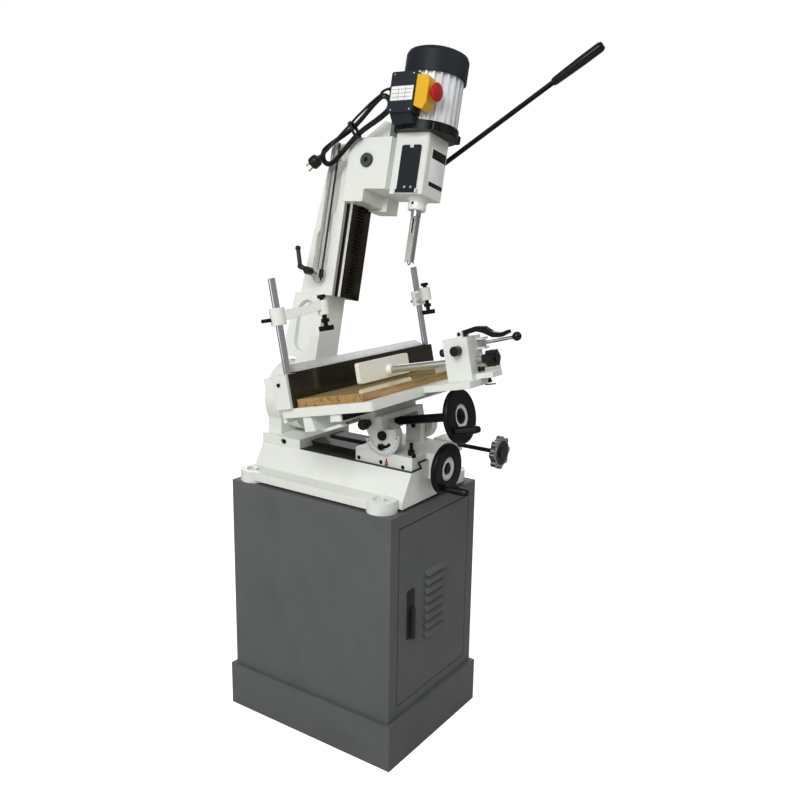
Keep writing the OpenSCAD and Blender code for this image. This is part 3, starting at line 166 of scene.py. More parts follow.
def metal(name, tones, rough, streak_mm, turn=(0, 0, 0), grain=0.15, metallic=1.0, rubbed_and_highlight=None):
    """Worked metal: streaks drawn out along one axis of its frame, in tone, gloss and bump.

    The streaks stand for tool marks. Real ones are tenths of a millimetre wide, too fine to show. The zone
    given with its (hex, roughness) is steel that sliding keeps bright, lightened further as a painted
    highlight."""
    material, tree = fresh(name)
    coords = add(tree, "ShaderNodeTexCoord").outputs["Object"]
    along = add(tree, "ShaderNodeMapping", {"Vector": coords, "Rotation": turn, "Scale": metres(*streak_mm)},
                vector_type="TEXTURE").outputs["Vector"]
    marks = add(tree, "ShaderNodeTexNoise", {"Vector": along, "Scale": 1.0, "Detail": 4.0}).outputs["Fac"]
    cloud = add(tree, "ShaderNodeTexNoise", {
        "Vector": coords, "Scale": 1 / (45 * MM), "Detail": 2.0}).outputs["Fac"]
    blend = add(tree, "ShaderNodeMix", {"Factor": 0.4, 2: marks, 3: cloud}).outputs[0]
    colour = add(tree, "ShaderNodeValToRGB", {"Fac": blend}, spread(tones, 0.32, 0.68)).outputs["Color"]
    gloss = add(tree, "ShaderNodeMapRange", {"Value": blend, "From Min": 0.3, "From Max": 0.7,
                                             "To Min": rough[0], "To Max": rough[1]}).outputs["Result"]
    # Bright steel and painted highlight: the zone's near white colour and its gloss
    if rubbed_and_highlight:
        zone, (code, dull) = rubbed_and_highlight
        where = zone(tree, coords)
        colour = add(tree, "ShaderNodeMix", {"Factor": where, 6: colour, 7: linear(code)},
                     data_type="RGBA").outputs[2]
        gloss = add(tree, "ShaderNodeMix", {"Factor": where, 2: gloss, 3: dull}).outputs[0]
    eased = add(tree, "ShaderNodeBevel", {"Radius": 0.6 * MM}, samples=4).outputs["Normal"]
    bump = add(tree, "ShaderNodeBump", {"Height": marks, "Strength": grain, "Distance": 0.15 * MM,
                                        "Normal": eased}).outputs["Normal"]
    return shaded(material, {"Base Color": colour, "Roughness": gloss, "Normal": bump, "Metallic": metallic})


def zoned(name, first, second, zone):
    """A node with two finishes, each (hex, metallic, roughness): zone gives 1 where the second one lies."""
    material, tree = fresh(name)
    coords = add(tree, "ShaderNodeTexCoord").outputs["Object"]
    where = zone(tree, coords)
    skin = add(tree, "ShaderNodeTexNoise", {
        "Vector": coords, "Scale": 1 / (3 * MM), "Detail": 3.0}).outputs["Fac"]
    tone = add(tree, "ShaderNodeMix", {"Factor": where, 6: linear(first[0]), 7: linear(second[0])},
               data_type="RGBA").outputs[2]
    shade = add(tree, "ShaderNodeMapRange", {"Value": skin, "To Min": 0.86, "To Max": 1.08}).outputs["Result"]
    colour = add(tree, "ShaderNodeVectorMath", {0: tone, "Scale": shade}, operation="SCALE").outputs["Vector"]
    metallic, rough = (add(tree, "ShaderNodeMapRange", {
        "Value": where, "To Min": first[i], "To Max": second[i]}).outputs["Result"] for i in (1, 2))
    eased = add(tree, "ShaderNodeBevel", {"Radius": 1.0 * MM}, samples=4).outputs["Normal"]
    bump = add(tree, "ShaderNodeBump", {"Height": skin, "Strength": 0.08, "Distance": 0.3 * MM,
                                        "Normal": eased}).outputs["Normal"]
    return shaded(material, {"Base Color": colour, "Metallic": metallic, "Roughness": rough, "Normal": bump,
                             "Specular IOR Level": 0.3})


# Zones, each with its place in a frame. A zone is called with a tree and its coordinates.
def height_over(tree, coords, frame_at, point, normal):
    """How far the coordinates lie beyond a plane."""
    offset = add(tree, "ShaderNodeVectorMath", {0: coords, 1: frame_at @ Vector(point)},
                 operation="SUBTRACT").outputs["Vector"]
    return add(tree, "ShaderNodeVectorMath", {0: offset, 1: frame_at.to_3x3() @ Vector(normal)},
               operation="DOT_PRODUCT").outputs["Value"]


def beyond_plane(frame_at, point, normal):
    """Zone on the far side of a plane."""
    def zone(tree, coords):
        height = height_over(tree, coords, frame_at, point, normal)
        return add(tree, "ShaderNodeMath", {0: height, 1: 0.0}, operation="GREATER_THAN").outputs["Value"]
    return zone


def beyond_half(frame_at, normal, half):
    """Zone farther than half a width from the frame's middle, to either side."""
    def zone(tree, coords):
        height = height_over(tree, coords, frame_at, (0, 0, 0), normal)
        away = add(tree, "ShaderNodeMath", {0: height}, operation="ABSOLUTE").outputs["Value"]
        return add(tree, "ShaderNodeMath", {0: away, 1: half}, operation="GREATER_THAN").outputs["Value"]
    return zone


def within_ball(frame_at, centre, radius):
    """Zone inside a ball."""
    def zone(tree, coords):
        gap = add(tree, "ShaderNodeVectorMath", {0: coords, 1: frame_at @ Vector(centre)},
                  operation="DISTANCE").outputs["Value"]
        return add(tree, "ShaderNodeMath", {0: gap, 1: radius}, operation="LESS_THAN").outputs["Value"]
    return zone


def beyond_radius(centre, axis, radius):
    """Zone outside a radius about an axis."""
    def zone(tree, coords):
        offset = add(tree, "ShaderNodeVectorMath", {0: coords, 1: centre},
                     operation="SUBTRACT").outputs["Vector"]
        swung = add(tree, "ShaderNodeVectorMath", {0: offset, 1: axis},
                    operation="CROSS_PRODUCT").outputs["Vector"]
        reach = add(tree, "ShaderNodeVectorMath", {0: swung}, operation="LENGTH").outputs["Value"]
        return add(tree, "ShaderNodeMath", {0: reach, 1: radius}, operation="GREATER_THAN").outputs["Value"]
    return zone


def overlap(first, second):
    """Zone that two zones share."""
    def zone(tree, coords):
        return add(tree, "ShaderNodeMath", {0: first(tree, coords), 1: second(tree, coords)},
                   operation="MULTIPLY").outputs["Value"]
    return zone


def varnished_board():
    """Varnished pine: long brown figure and fine pores along X under a glossy coat, the top tinted as painted
    sheen.

    The rings are drawn about twice as wide as real ones, and the pores far wider, so that they show."""
    material, tree = fresh("varnished_pine")
    coords = add(tree, "ShaderNodeTexCoord").outputs["Object"]
    grain = add(tree, "ShaderNodeMapping", {"Vector": coords, "Location": TABLE_PIVOT,
                                            "Rotation": ALONG_TABLE}, vector_type="TEXTURE").outputs["Vector"]
    broad, rings, fine = (add(tree, "ShaderNodeMapping", {"Vector": grain, "Scale": metres(*sizes)},
                              vector_type="TEXTURE").outputs["Vector"]
                          for sizes in ((260, 70, 70), (260, 11, 11), (40, 1.6, 1.6)))
    warp = add(tree, "ShaderNodeTexNoise", {"Vector": broad, "Scale": 1.0, "Detail": 2.0}).outputs["Color"]
    bent = add(tree, "ShaderNodeVectorMath", {0: rings, 1: warp}, operation="ADD").outputs["Vector"]
    figure = add(tree, "ShaderNodeTexNoise", {"Vector": bent, "Scale": 1.0, "Detail": 5.0,
                                              "Distortion": 0.6}).outputs["Fac"]
    pores = add(tree, "ShaderNodeTexNoise", {"Vector": fine, "Scale": 1.0, "Detail": 2.0}).outputs["Fac"]
    base = add(tree, "ShaderNodeValToRGB", {"Fac": figure}, [
        (0.30, "#745a33"), (0.42, "#9d7b49"), (0.52, "#b38e5d"), (0.62, "#a5804f"),
        (0.75, "#c5a474")]).outputs["Color"]
    dark = add(tree, "ShaderNodeMapRange", {"Value": pores, "From Min": 0.30, "From Max": 0.48,
                                            "To Min": 0.8, "To Max": 1.0}).outputs["Result"]
    wood = add(tree, "ShaderNodeVectorMath", {0: base, "Scale": dark}, operation="SCALE").outputs["Vector"]
    # Painted sheen: the top face is tinted pale yellow, standing in for the reflections in its gloss
    top = beyond_plane(TABLE, (0, 0, BOARD_TOP), (0, 0, 1))(tree, coords)
    painted_sheen = add(tree, "ShaderNodeMath", {0: top, 1: 0.6}, operation="MULTIPLY").outputs["Value"]
    colour = add(tree, "ShaderNodeMix", {"Factor": painted_sheen, 6: wood, 7: linear("#e0d196")},
                 data_type="RGBA").outputs[2]
    eased = add(tree, "ShaderNodeBevel", {"Radius": 1.5 * MM}, samples=4).outputs["Normal"]
    bump = add(tree, "ShaderNodeBump", {"Height": pores, "Strength": 0.12, "Distance": 0.2 * MM,
                                        "Normal": eased}).outputs["Normal"]
    return shaded(material, {"Base Color": colour, "Normal": bump, "Roughness": 0.36,
                             "Specular IOR Level": 0.0, "Coat Weight": 1.0, "Coat Roughness": 0.04})


ALONG_COLUMN = (0, COLUMN_TILT, 0)
ALONG_TABLE = (TABLE_TILT, 0, 0)
# Where finishes and painted light change, in metres, each a little inside its face: the base's deck and its
# front end (painted shade), the board's upper face (painted sheen), the way's bright lips (painted
# highlight), the jaw plate (painted light), the lever's ball, the edges of the stop block and its bar
# (painted shade), the end of the clamp's stud, and the slide lock's knob
DECK_TOP, DECK_FRONT = 0.8047, -0.2715
BOARD_TOP = 0.1355
WAY_HALF = 0.0447
JAW_PLATE = (0, 0.0215, 0.163)
LEVER_BALL, LEVER_BALL_R = (0.041, -0.362, 0.209), 0.0128
BLOCK_EDGE, BAR_EDGE = 0.1395, 0.1386
STUD_END = -0.0965
SLIDE_KNOB, KNOB_RIM_R = (0.136, -0.385, 0.828), 0.034

# Gloss enamel sprayed on filled iron castings: pale warm white, faint orange peel, dull thin edges
ENAMEL = dict(tones=("#dfe2da", "#e6e9e2", "#e2e6df"), rough=(0.26, 0.36), mottle_mm=90, grain_mm=4,
              grain=0.10, edge="#c2c6bc", edge_mm=2.0, coat=0.15)
cast_enamel = paint("cast_enamel", **ENAMEL)
# The same enamel on the base; its deck and dovetail behind the saddle are coloured near black as painted
# shade
base_enamel = paint("base_enamel", **ENAMEL, shade_zone=(
    overlap(beyond_plane(GROUND, (0, 0, DECK_TOP), (0, 0, 1)),
            beyond_plane(GROUND, (0, DECK_FRONT, 0), (0, 1, 0))), ("#20241f", 0.0, 0.8)))
# Powder coat baked on folded sheet steel: mid grey, fine leathery skin
cabinet_powder = paint("cabinet_powder", ("#585b5a", "#5e6160", "#5b5e5d"), (0.46, 0.56), mottle_mm=160,
                       grain_mm=2.5, grain=0.22, edge="#787b7a", edge_mm=1.6, specular=0.25)
# Black stoving enamel on levers, bolts and the motor's end flange, and as painted shade on the strip along
# the table's slide jaw
black_enamel = paint("black_enamel", ("#0c0d0e", "#111214"), (0.30, 0.42), grain_mm=3, grain=0.10,
                     edge="#2b2c2e", edge_mm=0.8, specular=0.15)
# Satin black paint on pressed sheet: the fan cowl and the chuck's cover
satin_black = paint("satin_black", ("#191d23", "#1e2329"), (0.46, 0.58), grain_mm=2, grain=0.18,
                    edge="#31353b", edge_mm=1.2, specular=0.2)
# Phenolic moulding: deep black with a polished skin
phenolic = paint("phenolic", ("#0e0f10", "#151617"), (0.22, 0.30), grain_mm=5, grain=0.05, edge_mm=1.0,
                 coat=0.1, specular=0.25)
# Spark-eroded ABS of the switch box: blue-black with a matt grain
box_abs = paint("box_abs", ("#21252c", "#282c35"), (0.44, 0.54), grain_mm=1.6, grain=0.25, edge="#3b4048",
                edge_mm=1.2, specular=0.2)
# Moulded ABS of the switch: smooth yellow, and signal red
yellow_abs = paint("yellow_abs", ("#e3ab18", "#e8b422"), (0.30, 0.38), grain_mm=2, grain=0.10)
red_abs = paint("red_abs", ("#b5161e", "#bf1c24"), (0.28, 0.36), grain_mm=4, grain=0.06, specular=0.3)
# Dark nylon of the door latch and the tie on the lead: dull charcoal
dark_nylon = paint("dark_nylon", ("#202121", "#272828"), (0.46, 0.56), grain_mm=2, grain=0.14, edge_mm=0.6,
                   specular=0.2)
# Nitrile rubber of the way wiper: flat black. The same black is painted shade at the bottom of slots and
# sockets
black_rubber_and_shade = paint("black_rubber_and_shade", ("#0c0c0c", "#141413"), (0.58, 0.7), grain_mm=2, edge_mm=0.4,
                     specular=0.15)
# Soft PVC of the mains lead: black with a slight shine
cord_pvc = paint("cord_pvc", ("#0f0f11", "#161618"), (0.34, 0.44), grain_mm=2, grain=0.10, edge_mm=0.5,
                 specular=0.3)
# Printed plates: white field, black field, red paint
white_print = paint("white_print", ("#e8e9e6", "#f0f1ee"), (0.38, 0.46), grain_mm=1, grain=0.04, edge_mm=0.2)
black_print = paint("black_print", ("#121316", "#17181b"), (0.40, 0.48), grain_mm=1, grain=0.04, edge_mm=0.2,
                    specular=0.2)
red_paint = paint("red_paint", ("#a8202c", "#b62a34"), (0.34, 0.42), grain_mm=1.5, grain=0.08, edge_mm=0.4)
# Ground steel of the chisel and rack: bright, with fine marks along the tool
ground_steel = metal("ground_steel", ("#a9a8a4", "#bab9b5", "#c8c7c2"), (0.20, 0.30), (6, 6, 200),
                     ALONG_COLUMN, grain=0.02)
# Hard chrome on the hold-down posts: cold and smooth
hard_chrome = metal("hard_chrome", ("#cfcfd6", "#d9d9e0"), (0.14, 0.18), (30, 30, 300), ALONG_TABLE,
                    grain=0.0)
# Oiled dark steel of the column's way, with marks along its travel and lips that the head keeps bright, made
# near white as a painted highlight
oiled_steel = metal("oiled_steel", ("#2b2620", "#3a342b", "#4a443a"), (0.16, 0.26), (14, 14, 700),
                    ALONG_COLUMN, grain=0.04,
                    rubbed_and_highlight=(beyond_half(COLUMN, (1, 0, 0), WAY_HALF), ("#e4e3db", 0.32)))
# Blued steel of the fence: near black, ground along its length
blued_steel = metal("blued_steel", ("#3d3732", "#46403a", "#4f4841"), (0.12, 0.18), (500, 14, 14),
                    ALONG_TABLE, grain=0.03)
# Die-cast aluminium of the motor under silver lacquer, drawn along its ribs
drawn_alloy = metal("drawn_alloy", ("#e0e2e4", "#e4e6e8", "#e8eaec"), (0.40, 0.46), (20, 20, 200),
                    ALONG_COLUMN, grain=0.03, metallic=0.12)
# Satin aluminium of the fence's ruler: pale grey, brushed along its length
satin_alloy = metal("satin_alloy", ("#c6c8c6", "#d0d2d0"), (0.42, 0.50), (60, 6, 6), ALONG_TABLE, grain=0.02,
                    metallic=0.25)
# Pale anodised aluminium of the dials and the tilt scale: nearly white and matt
dial_alloy = metal("dial_alloy", ("#dcdede", "#e4e6e6"), (0.42, 0.52), (20, 20, 20), grain=0.02, metallic=0.1)
# Zinc plate on small screws: silver, a little clouded
zinc_plate = metal("zinc_plate", ("#a9abad", "#c6c8c9"), (0.22, 0.32), (3, 3, 3))
# Black oxide on the pinion's end cap: slate grey
black_oxide = metal("black_oxide", ("#474b4b", "#515555"), (0.40, 0.50), (3, 3, 3), grain=0.03, metallic=0.4)
pine = varnished_board()
# The vise jaw: ground rod, and an enamelled plate with its cone; the plate is whiter than the castings'
# enamel, painted light for its dim front face
jaw_finish = zoned("jaw_rod_and_plate", ("#c4c4c2", 0.9, 0.30), ("#f0f1ea", 0.0, 0.34),
                   beyond_plane(TABLE, JAW_PLATE, (0, 1, 0)))
# The vise lever: chromed rod with a phenolic ball
ball_finish = zoned("rod_and_ball", ("#c9cacd", 1.0, 0.12), ("#101112", 0.0, 0.24),
                    within_ball(TABLE, LEVER_BALL, LEVER_BALL_R))
# The stop block: plated face, its front edge coloured near black as painted shade
block_finish = zoned("block_and_shaded_edge", ("#c3c5c1", 0.3, 0.42), ("#17181a", 0.0, 0.40),
                     beyond_plane(COLUMN, (0, BLOCK_EDGE, 0), (0, -1, 0)))
# The stop bar: satin aluminium face, its front edge coloured near black as painted shade
bar_finish = zoned("bar_and_shaded_edge", ("#b9bbb6", 0.25, 0.44), ("#2a2c2a", 0.0, 0.50),
                   beyond_plane(COLUMN, (0, BAR_EDGE, 0), (0, -1, 0)))
# The stop's clamp: bright stud, black moulded lever
stud_finish = zoned("stud_and_lever", ("#c0c1c3", 1.0, 0.24), ("#131416", 0.0, 0.32),
                    beyond_plane(COLUMN, (STUD_END, 0, 0), (-1, 0, 0)))
# The slide lock: black rod and boss, chromed rim
rim_finish = zoned("knob_and_rim", ("#121315", 0.0, 0.34), ("#a9aaac", 1.0, 0.22), overlap(
    beyond_radius(SLIDE_KNOB, (0, -1, 0), KNOB_RIM_R), beyond_plane(GROUND, SLIDE_KNOB, (0, -1, 0))))


# Mains lead: the route of its solid in the column's frame, in millimetres, drawn finer
CORD_D = 7.0
CORD_START = Vector((-95, -33, 863))
CORD_BEND = Vector((1, 22, -6))
HANK_TURNS, HANK_RUN, HANK_WAIST, RUN_SHARE = 3, 208.0, 11.0, 0.34
HANK_FOLD, HANK_STEP = 3 * CORD_D, CORD_D + 0.9
HANK_MID = Vector((-94, 62, 754))
HANK_ANGLE = math.radians(-38.3)
ALONG = Vector((0, math.cos(HANK_ANGLE), math.sin(HANK_ANGLE)))
ACROSS = Vector((0, -math.sin(HANK_ANGLE), math.cos(HANK_ANGLE)))
OUTWARD = Vector((-1, 0, 0))
RUN_POINTS, FOLD_POINTS, TAIL_POINTS, LIFT_POINTS = 10, 14, 11, 4
TAIL_LIFT, TAIL_OUT, TAIL_DROP = 10, 15, 7
ROUTE_PITCH = 4.0
PLUG_BODY = 41.2


def hank_at(u, v, w):
    """A point of the hank, along it, across it and outward."""
    return HANK_MID + ALONG * u + ACROSS * v + OUTWARD * w


def hank_dip(u):
    """How far the tie draws the runs together."""
    return HANK_WAIST * math.cos(math.pi * u / HANK_RUN) ** 2


def hank_r(t):
    """The fold's radius after t turns: inwards in the first layer, outwards in the second."""
    half = HANK_TURNS / 2
    return HANK_FOLD + HANK_STEP * (half - t if t < half else max(t - half - RUN_SHARE, 0))


def hank_point(t):
    """The lead after t turns: a run, a fold, the run back and the other fold."""
    f, r, h, fold = t % 1, hank_r(t), HANK_RUN / 2, 0.5 - RUN_SHARE
    if f < RUN_SHARE:
        u = -h + HANK_RUN * f / RUN_SHARE
        v = r - hank_dip(u)
    elif f < 0.5:
        a = math.radians(90 - 180 * (f - RUN_SHARE) / fold)
        u, v = h + r * math.cos(a), r * math.sin(a)
    elif f < 0.5 + RUN_SHARE:
        u = h - HANK_RUN * (f - 0.5) / RUN_SHARE
        v = hank_dip(u) - r
    else:
        a = math.radians(270 - 180 * (f - 0.5 - RUN_SHARE) / fold)
        u, v = -h + r * math.cos(a), r * math.sin(a)
    layer = HANK_STEP * (min(max((t - HANK_TURNS / 2) / RUN_SHARE, 0), 1) - 0.5)
    return hank_at(u, v, layer)


def cord_route():
    """From the gland, round the hank, and along its outside to the plug."""
    lead_in = [CORD_START, CORD_START + Vector((0, CORD_D, 0)), CORD_START + CORD_BEND]
    shares = [RUN_SHARE * k / RUN_POINTS for k in range(RUN_POINTS)] + [
        RUN_SHARE + (0.5 - RUN_SHARE) * k / FOLD_POINTS for k in range(FOLD_POINTS)]
    turns = [hank_point(k + s + half) for k in range(HANK_TURNS) for half in (0, 0.5) for s in shares]
    tail = []
    for k in range(TAIL_POINTS + 1):
        u, lift = HANK_RUN * (k / TAIL_POINTS - 0.5), min(k / LIFT_POINTS, 1)
        c = max((k - LIFT_POINTS) / (TAIL_POINTS - LIFT_POINTS), 0)
        ease = c * c * (3 - 2 * c)
        tail.append(hank_at(u, (hank_r(HANK_TURNS) - hank_dip(u)) * (1 - ease) - TAIL_DROP * ease,
                            HANK_STEP / 2 + TAIL_LIFT * lift + TAIL_OUT * ease))
    return lead_in + turns + tail + [tail[-1] + ALONG * CORD_D]


def smooth_route(points, pitch):
    """A line through points, closely divided, by Catmull and Rom's rule."""
    line = []
    for i in range(len(points) - 1):
        a, b = points[i], points[i + 1]
        before = points[i - 1] if i else a * 2 - b
        after = points[i + 2] if i + 2 < len(points) else b * 2 - a
        steps = max(1, round((b - a).length / pitch))
        for k in range(steps):
            t = k / steps
            line.append(0.5 * (2 * a + (b - before) * t + (2 * before - 5 * a + 4 * b - after) * t ** 2
                               + (3 * a - before - 3 * b + after) * t ** 3))
    return line + [points[-1]]


def make_cord():
    """The lead as a round curve, with its length."""
    route = [COLUMN @ (p * MM) for p in smooth_route(cord_route(), ROUTE_PITCH)]
    curve = bpy.data.curves.new("mains_lead", "CURVE")
    curve.dimensions = "3D"
    curve.bevel_depth = CORD_D / 2 * MM
    curve.bevel_resolution = 3
    curve.use_fill_caps = True
    spline = curve.splines.new("POLY")
    spline.points.add(len(route) - 1)
    for point, p in zip(spline.points, route):
        point.co = (*p, 1)
    spline.use_smooth = True
    lead = bpy.data.objects.new("mains_lead", curve)
    bpy.context.scene.collection.objects.link(lead)
    curve.materials.append(cord_pvc)
    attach(lead, "tool_head")
    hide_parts("cord_hank")
    return lead, sum((b - a).length for a, b in zip(route, route[1:]))


lead, lead_length = make_cord()
# The plug: PVC body with brass pins
plug_finish = zoned("plug_and_pins", ("#141416", 0.0, 0.42), ("#c9a54e", 1.0, 0.24),
                    beyond_plane(COLUMN, (cord_route()[-1] + ALONG * PLUG_BODY) * MM, ALONG))

# The finish of each solid
DRESS = {
    cabinet_powder: "plinth cabinet_shell cabinet_door",
    base_enamel: "base_casting",
    cast_enamel: "frame_bolts pedestal saddle trunnion table fence_casting left_arm right_arm vise_block "
                 "column head",
    dark_nylon: "lock_handle",
    black_enamel: "pivot_studs cross_handwheel feed_handwheel feed_shaft saddle_lock_lever "
                  "left_foot_screw right_foot_screw left_arm_lock right_arm_lock vise_cam_handle feed_lever "
                  "motor_flange",
    block_finish: "stop_block",
    stud_finish: "stop_lever",
    satin_black: "access_cover fan_cowl",
    phenolic: "cross_crank feed_crank vise_lobed_knob vise_side_knob lever_grip",
    box_abs: "switch_box",
    yellow_abs: "switch_housing",
    red_abs: "stop_button",
    cord_pvc: "cord_gland cord_hank",
    plug_finish: "cord_plug",
    ground_steel: "cross_screw table_rack chisel auger motor_rotor",
    hard_chrome: "left_post right_post",
    oiled_steel: "column_way",
    blued_steel: "fence_face pinion_shaft",
    drawn_alloy: "motor_body",
    bar_finish: "stop_bar",
    dial_alloy: "tilt_scale",
    pine: "table_board",
    jaw_finish: "vise_jaw",
    ball_finish: "vise_ball_lever",
    rim_finish: "slide_lock_knob",
}
for material, names in DRESS.items():
    for name in names.split():
        NODES[name].data.materials.clear()
        NODES[name].data.materials.append(material)


# Modelling helpers. Pieces are made in millimetres, then set in their frame.
SMOOTH_ANGLE = math.radians(35)
SIDES = {"left": ((0, -1, 0), (0, 0, 1)), "front": ((1, 0, 0), (0, 0, 1)), "top": ((1, 0, 0), (0, 1, 0)),
         "back": ((-1, 0, 0), (0, 0, 1)), "under": ((1, 0, 0), (0, -1, 0))}


def begin():
    """Object mode with nothing selected."""
    if bpy.context.mode != "OBJECT":
        bpy.ops.object.mode_set(mode="OBJECT")
    bpy.ops.object.select_all(action="DESELECT")


def take(*pieces):
    """Selects these objects alone, the first one active."""
    begin()
    for piece in pieces:
        piece.select_set(True)
    bpy.context.view_layer.objects.active = pieces[0]


def enter(piece, edges=None, faces=None):
    """Edit mode, with the edges or faces that pass a test selected, or all."""
    take(piece)
    mesh = piece.data
    everything = edges is None and faces is None
    for group in (mesh.vertices, mesh.edges, mesh.polygons):
        for part in group:
            part.select = everything
    if edges:
        for e in mesh.edges:
            e.select = edges(*(mesh.vertices[i].co for i in e.vertices))
    if faces:
        for f in mesh.polygons:
            f.select = faces(f.center, f.normal)
    bpy.context.tool_settings.mesh_select_mode = (everything, bool(edges), bool(faces))
    bpy.ops.object.mode_set(mode="EDIT")


def outward(piece):
    """Merges doubles and turns the faces outwards."""
    enter(piece)
    bpy.ops.mesh.remove_doubles(threshold=0.001)
    bpy.ops.mesh.normals_make_consistent(inside=False)
    begin()
    return piece


def apply_all(*pieces):
    """Puts the pieces' places into their meshes."""
    take(*pieces)
    bpy.ops.object.transform_apply(location=True, rotation=True, scale=True)


def joined(pieces):
    """Several objects as one."""
    take(*pieces)
    if len(pieces) > 1:
        bpy.ops.object.join()
    return pieces[0]


def turned(profile, sides=32, closed=False):
    """A piece turned about Z: a disc, or a circle for a closed ring, drawn through (radius, height) pairs."""
    begin()
    r, z = profile[0]
    bpy.ops.mesh.primitive_circle_add(vertices=sides, radius=r, location=(0, 0, z),
                                      fill_type="NOTHING" if closed else "NGON")
    piece = bpy.context.view_layer.objects.active
    apply_all(piece)
    enter(piece)
    for next_r, next_z in profile[1:] + (profile[:1] if closed else []):
        bpy.ops.mesh.extrude_region_move(TRANSFORM_OT_translate={"value": (0, 0, next_z - z)})
        if next_r != r:
            bpy.ops.transform.resize(value=(next_r / r, next_r / r, 1), center_override=(0, 0, next_z))
        r, z = next_r, next_z
    return outward(piece)


def slab(width, height, thick, corner=1.0, rim=0.3):
    """A plate lying on XY with round corners and an eased upper rim."""
    begin()
    bpy.ops.mesh.primitive_cube_add(size=1, location=(0, 0, thick / 2))
    piece = bpy.context.view_layer.objects.active
    piece.scale = (width, height, thick)
    apply_all(piece)
    enter(piece, edges=lambda a, b: abs(a.z - b.z) > thick / 2)
    bpy.ops.mesh.bevel(offset=corner, segments=4, affect="EDGES")
    if rim:
        enter(piece, edges=lambda a, b: min(a.z, b.z) > thick * 0.99)
        bpy.ops.mesh.bevel(offset=rim, segments=2, affect="EDGES")
    begin()
    return piece


def cut(piece, tool):
    """Takes the tool's shape out of a piece."""
    take(piece)
    knife = piece.modifiers.new("cut", "BOOLEAN")
    knife.operation = "DIFFERENCE"
    knife.object = tool
    bpy.ops.object.modifier_apply(modifier=knife.name)
    bpy.data.objects.remove(tool)
    return piece


def copies(piece, places):
    """Copies of a piece, each with its own mesh, joined into one object."""
    begin()
    made = []
    for place in places:
        twin = piece.copy()
        twin.data = piece.data.copy()
        bpy.context.scene.collection.objects.link(twin)
        twin.matrix_world = place
        made.append(twin)
    bpy.data.objects.remove(piece)
    apply_all(*made)
    return joined(made)


def spot(x, y, z, side, turn=0.0):
    """A place on a face that looks to a side, in millimetres."""
    right, up = (Vector(v) for v in SIDES[side])
    basis = Matrix((right, up, right.cross(up))).transposed().to_4x4()
    return Matrix.Translation((x, y, z)) @ basis @ Matrix.Rotation(math.radians(turn), 4, "Z")


def set_in(name, frame_at, body, material, piece):
    """Sets a piece in its frame in metres, smooths and paints it, and lets it ride on a body."""
    piece.matrix_world = frame_at @ Matrix.Scale(MM, 4)
    apply_all(piece)
    bpy.ops.object.shade_smooth_by_angle(angle=SMOOTH_ANGLE)
    piece.name = name
    piece.data.name = name
    piece.data.materials.clear()
    piece.data.materials.append(material)
    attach(piece, body)


# Small hardware, modelled once and copied to its places
# A socket's radius, the radius of the dark disc of painted shade in it, and its floor, as shares of a screw's
# radius and height
SOCKET_WIDE, SOCKET_SHADE, SOCKET_FLOOR = 0.5, 0.48, 0.3
LINE_WIDE, LINE_RAISED = 0.9, 0.12


def socket_screw(radius, height):
    """A cap screw: a round head with a hexagon socket."""
    head = turned([(radius - 0.4, 0), (radius, 0.4), (radius, height - 0.6), (radius - 0.6, height)], 24)
    wide = radius * SOCKET_WIDE
    return cut(head, turned([(wide, height * SOCKET_FLOOR), (wide, height + 1)], 6))


def eyed_screws(name, frame_at, body, radius, height, places):
    """Pale cap screws on the left side, and dark discs at the bottom of their sockets as painted shade."""
    set_in(name + "_screws", frame_at, body, dial_alloy,
           copies(socket_screw(radius, height), [spot(*place, "left") for place in places]))
    wide = radius * SOCKET_SHADE
    set_in(name + "_sockets", frame_at, body, black_rubber_and_shade,
           copies(turned([(wide, 0), (wide, 0.3), (wide * 0.8, 0.5)], 6),
                  [spot(x - height * SOCKET_FLOOR, y, z, "left") for x, y, z in places]))


def pan_screw(radius, height):
    """A pan-head screw with a cross recess."""
    head = turned([(radius, 0), (radius, height * 0.3), (radius * 0.92, height * 0.65),
                   (radius * 0.7, height * 0.9), (radius * 0.35, height)], 20)
    for turn in (0, 90):
        recess = slab(radius * 1.1, radius * 0.3, height, corner=0.05, rim=0)
        recess.matrix_world = spot(0, 0, height * 0.5, "top", turn)
        cut(head, recess)
    return head


def hex_nut(radius, height):
    """A chamfered hexagon."""
    return turned([(radius * 0.95, 0), (radius, height * 0.1), (radius, height * 0.82),
                   (radius * 0.86, height)], 6)


def hand_knob(radius, length, lobes=10):
    """A moulded knob with a waist, flat flutes and a domed end."""
    return turned([(radius * 0.72, 0), (radius * 0.72, length * 0.2), (radius * 0.96, length * 0.34),
                   (radius, length * 0.45), (radius, length * 0.82), (radius * 0.86, length * 0.95),
                   (radius * 0.4, length)], lobes)


def mark(length):
    """One printed line, a thin raised bar along Y. Real lines are half as wide, too fine to show."""
    begin()
    bpy.ops.mesh.primitive_plane_add(size=1)
    line = bpy.context.view_layer.objects.active
    line.scale = (LINE_WIDE, length, 1)
    apply_all(line)
    enter(line)
    bpy.ops.mesh.extrude_region_move(TRANSFORM_OT_translate={"value": (0, 0, LINE_RAISED)})
    return outward(line)


def ruled(name, frame_at, body, short, long):
    """The lines of a scale: short and long ones, each a length and its places."""
    set_in(name, frame_at, body, black_print,
           joined([copies(mark(length), places) for length, places in (short, long)]))


# Cabinet door: pressed hoods over the louvres, and the latch plate round the handle's shaft
DOOR_FACE = -280
LOUVRES, LOUVRE_LOW, LOUVRE_PITCH = 8, 324, 26
HOOD_WIDE, HOOD_TALL, HOOD_OUT, HOOD_SLOPE = 98, 18, 9, math.radians(25.5)
LATCH_X, LATCH_Z, LATCH_WIDE, LATCH_TALL, LATCH_THICK = -117, 413.5, 34, 140, 2.5

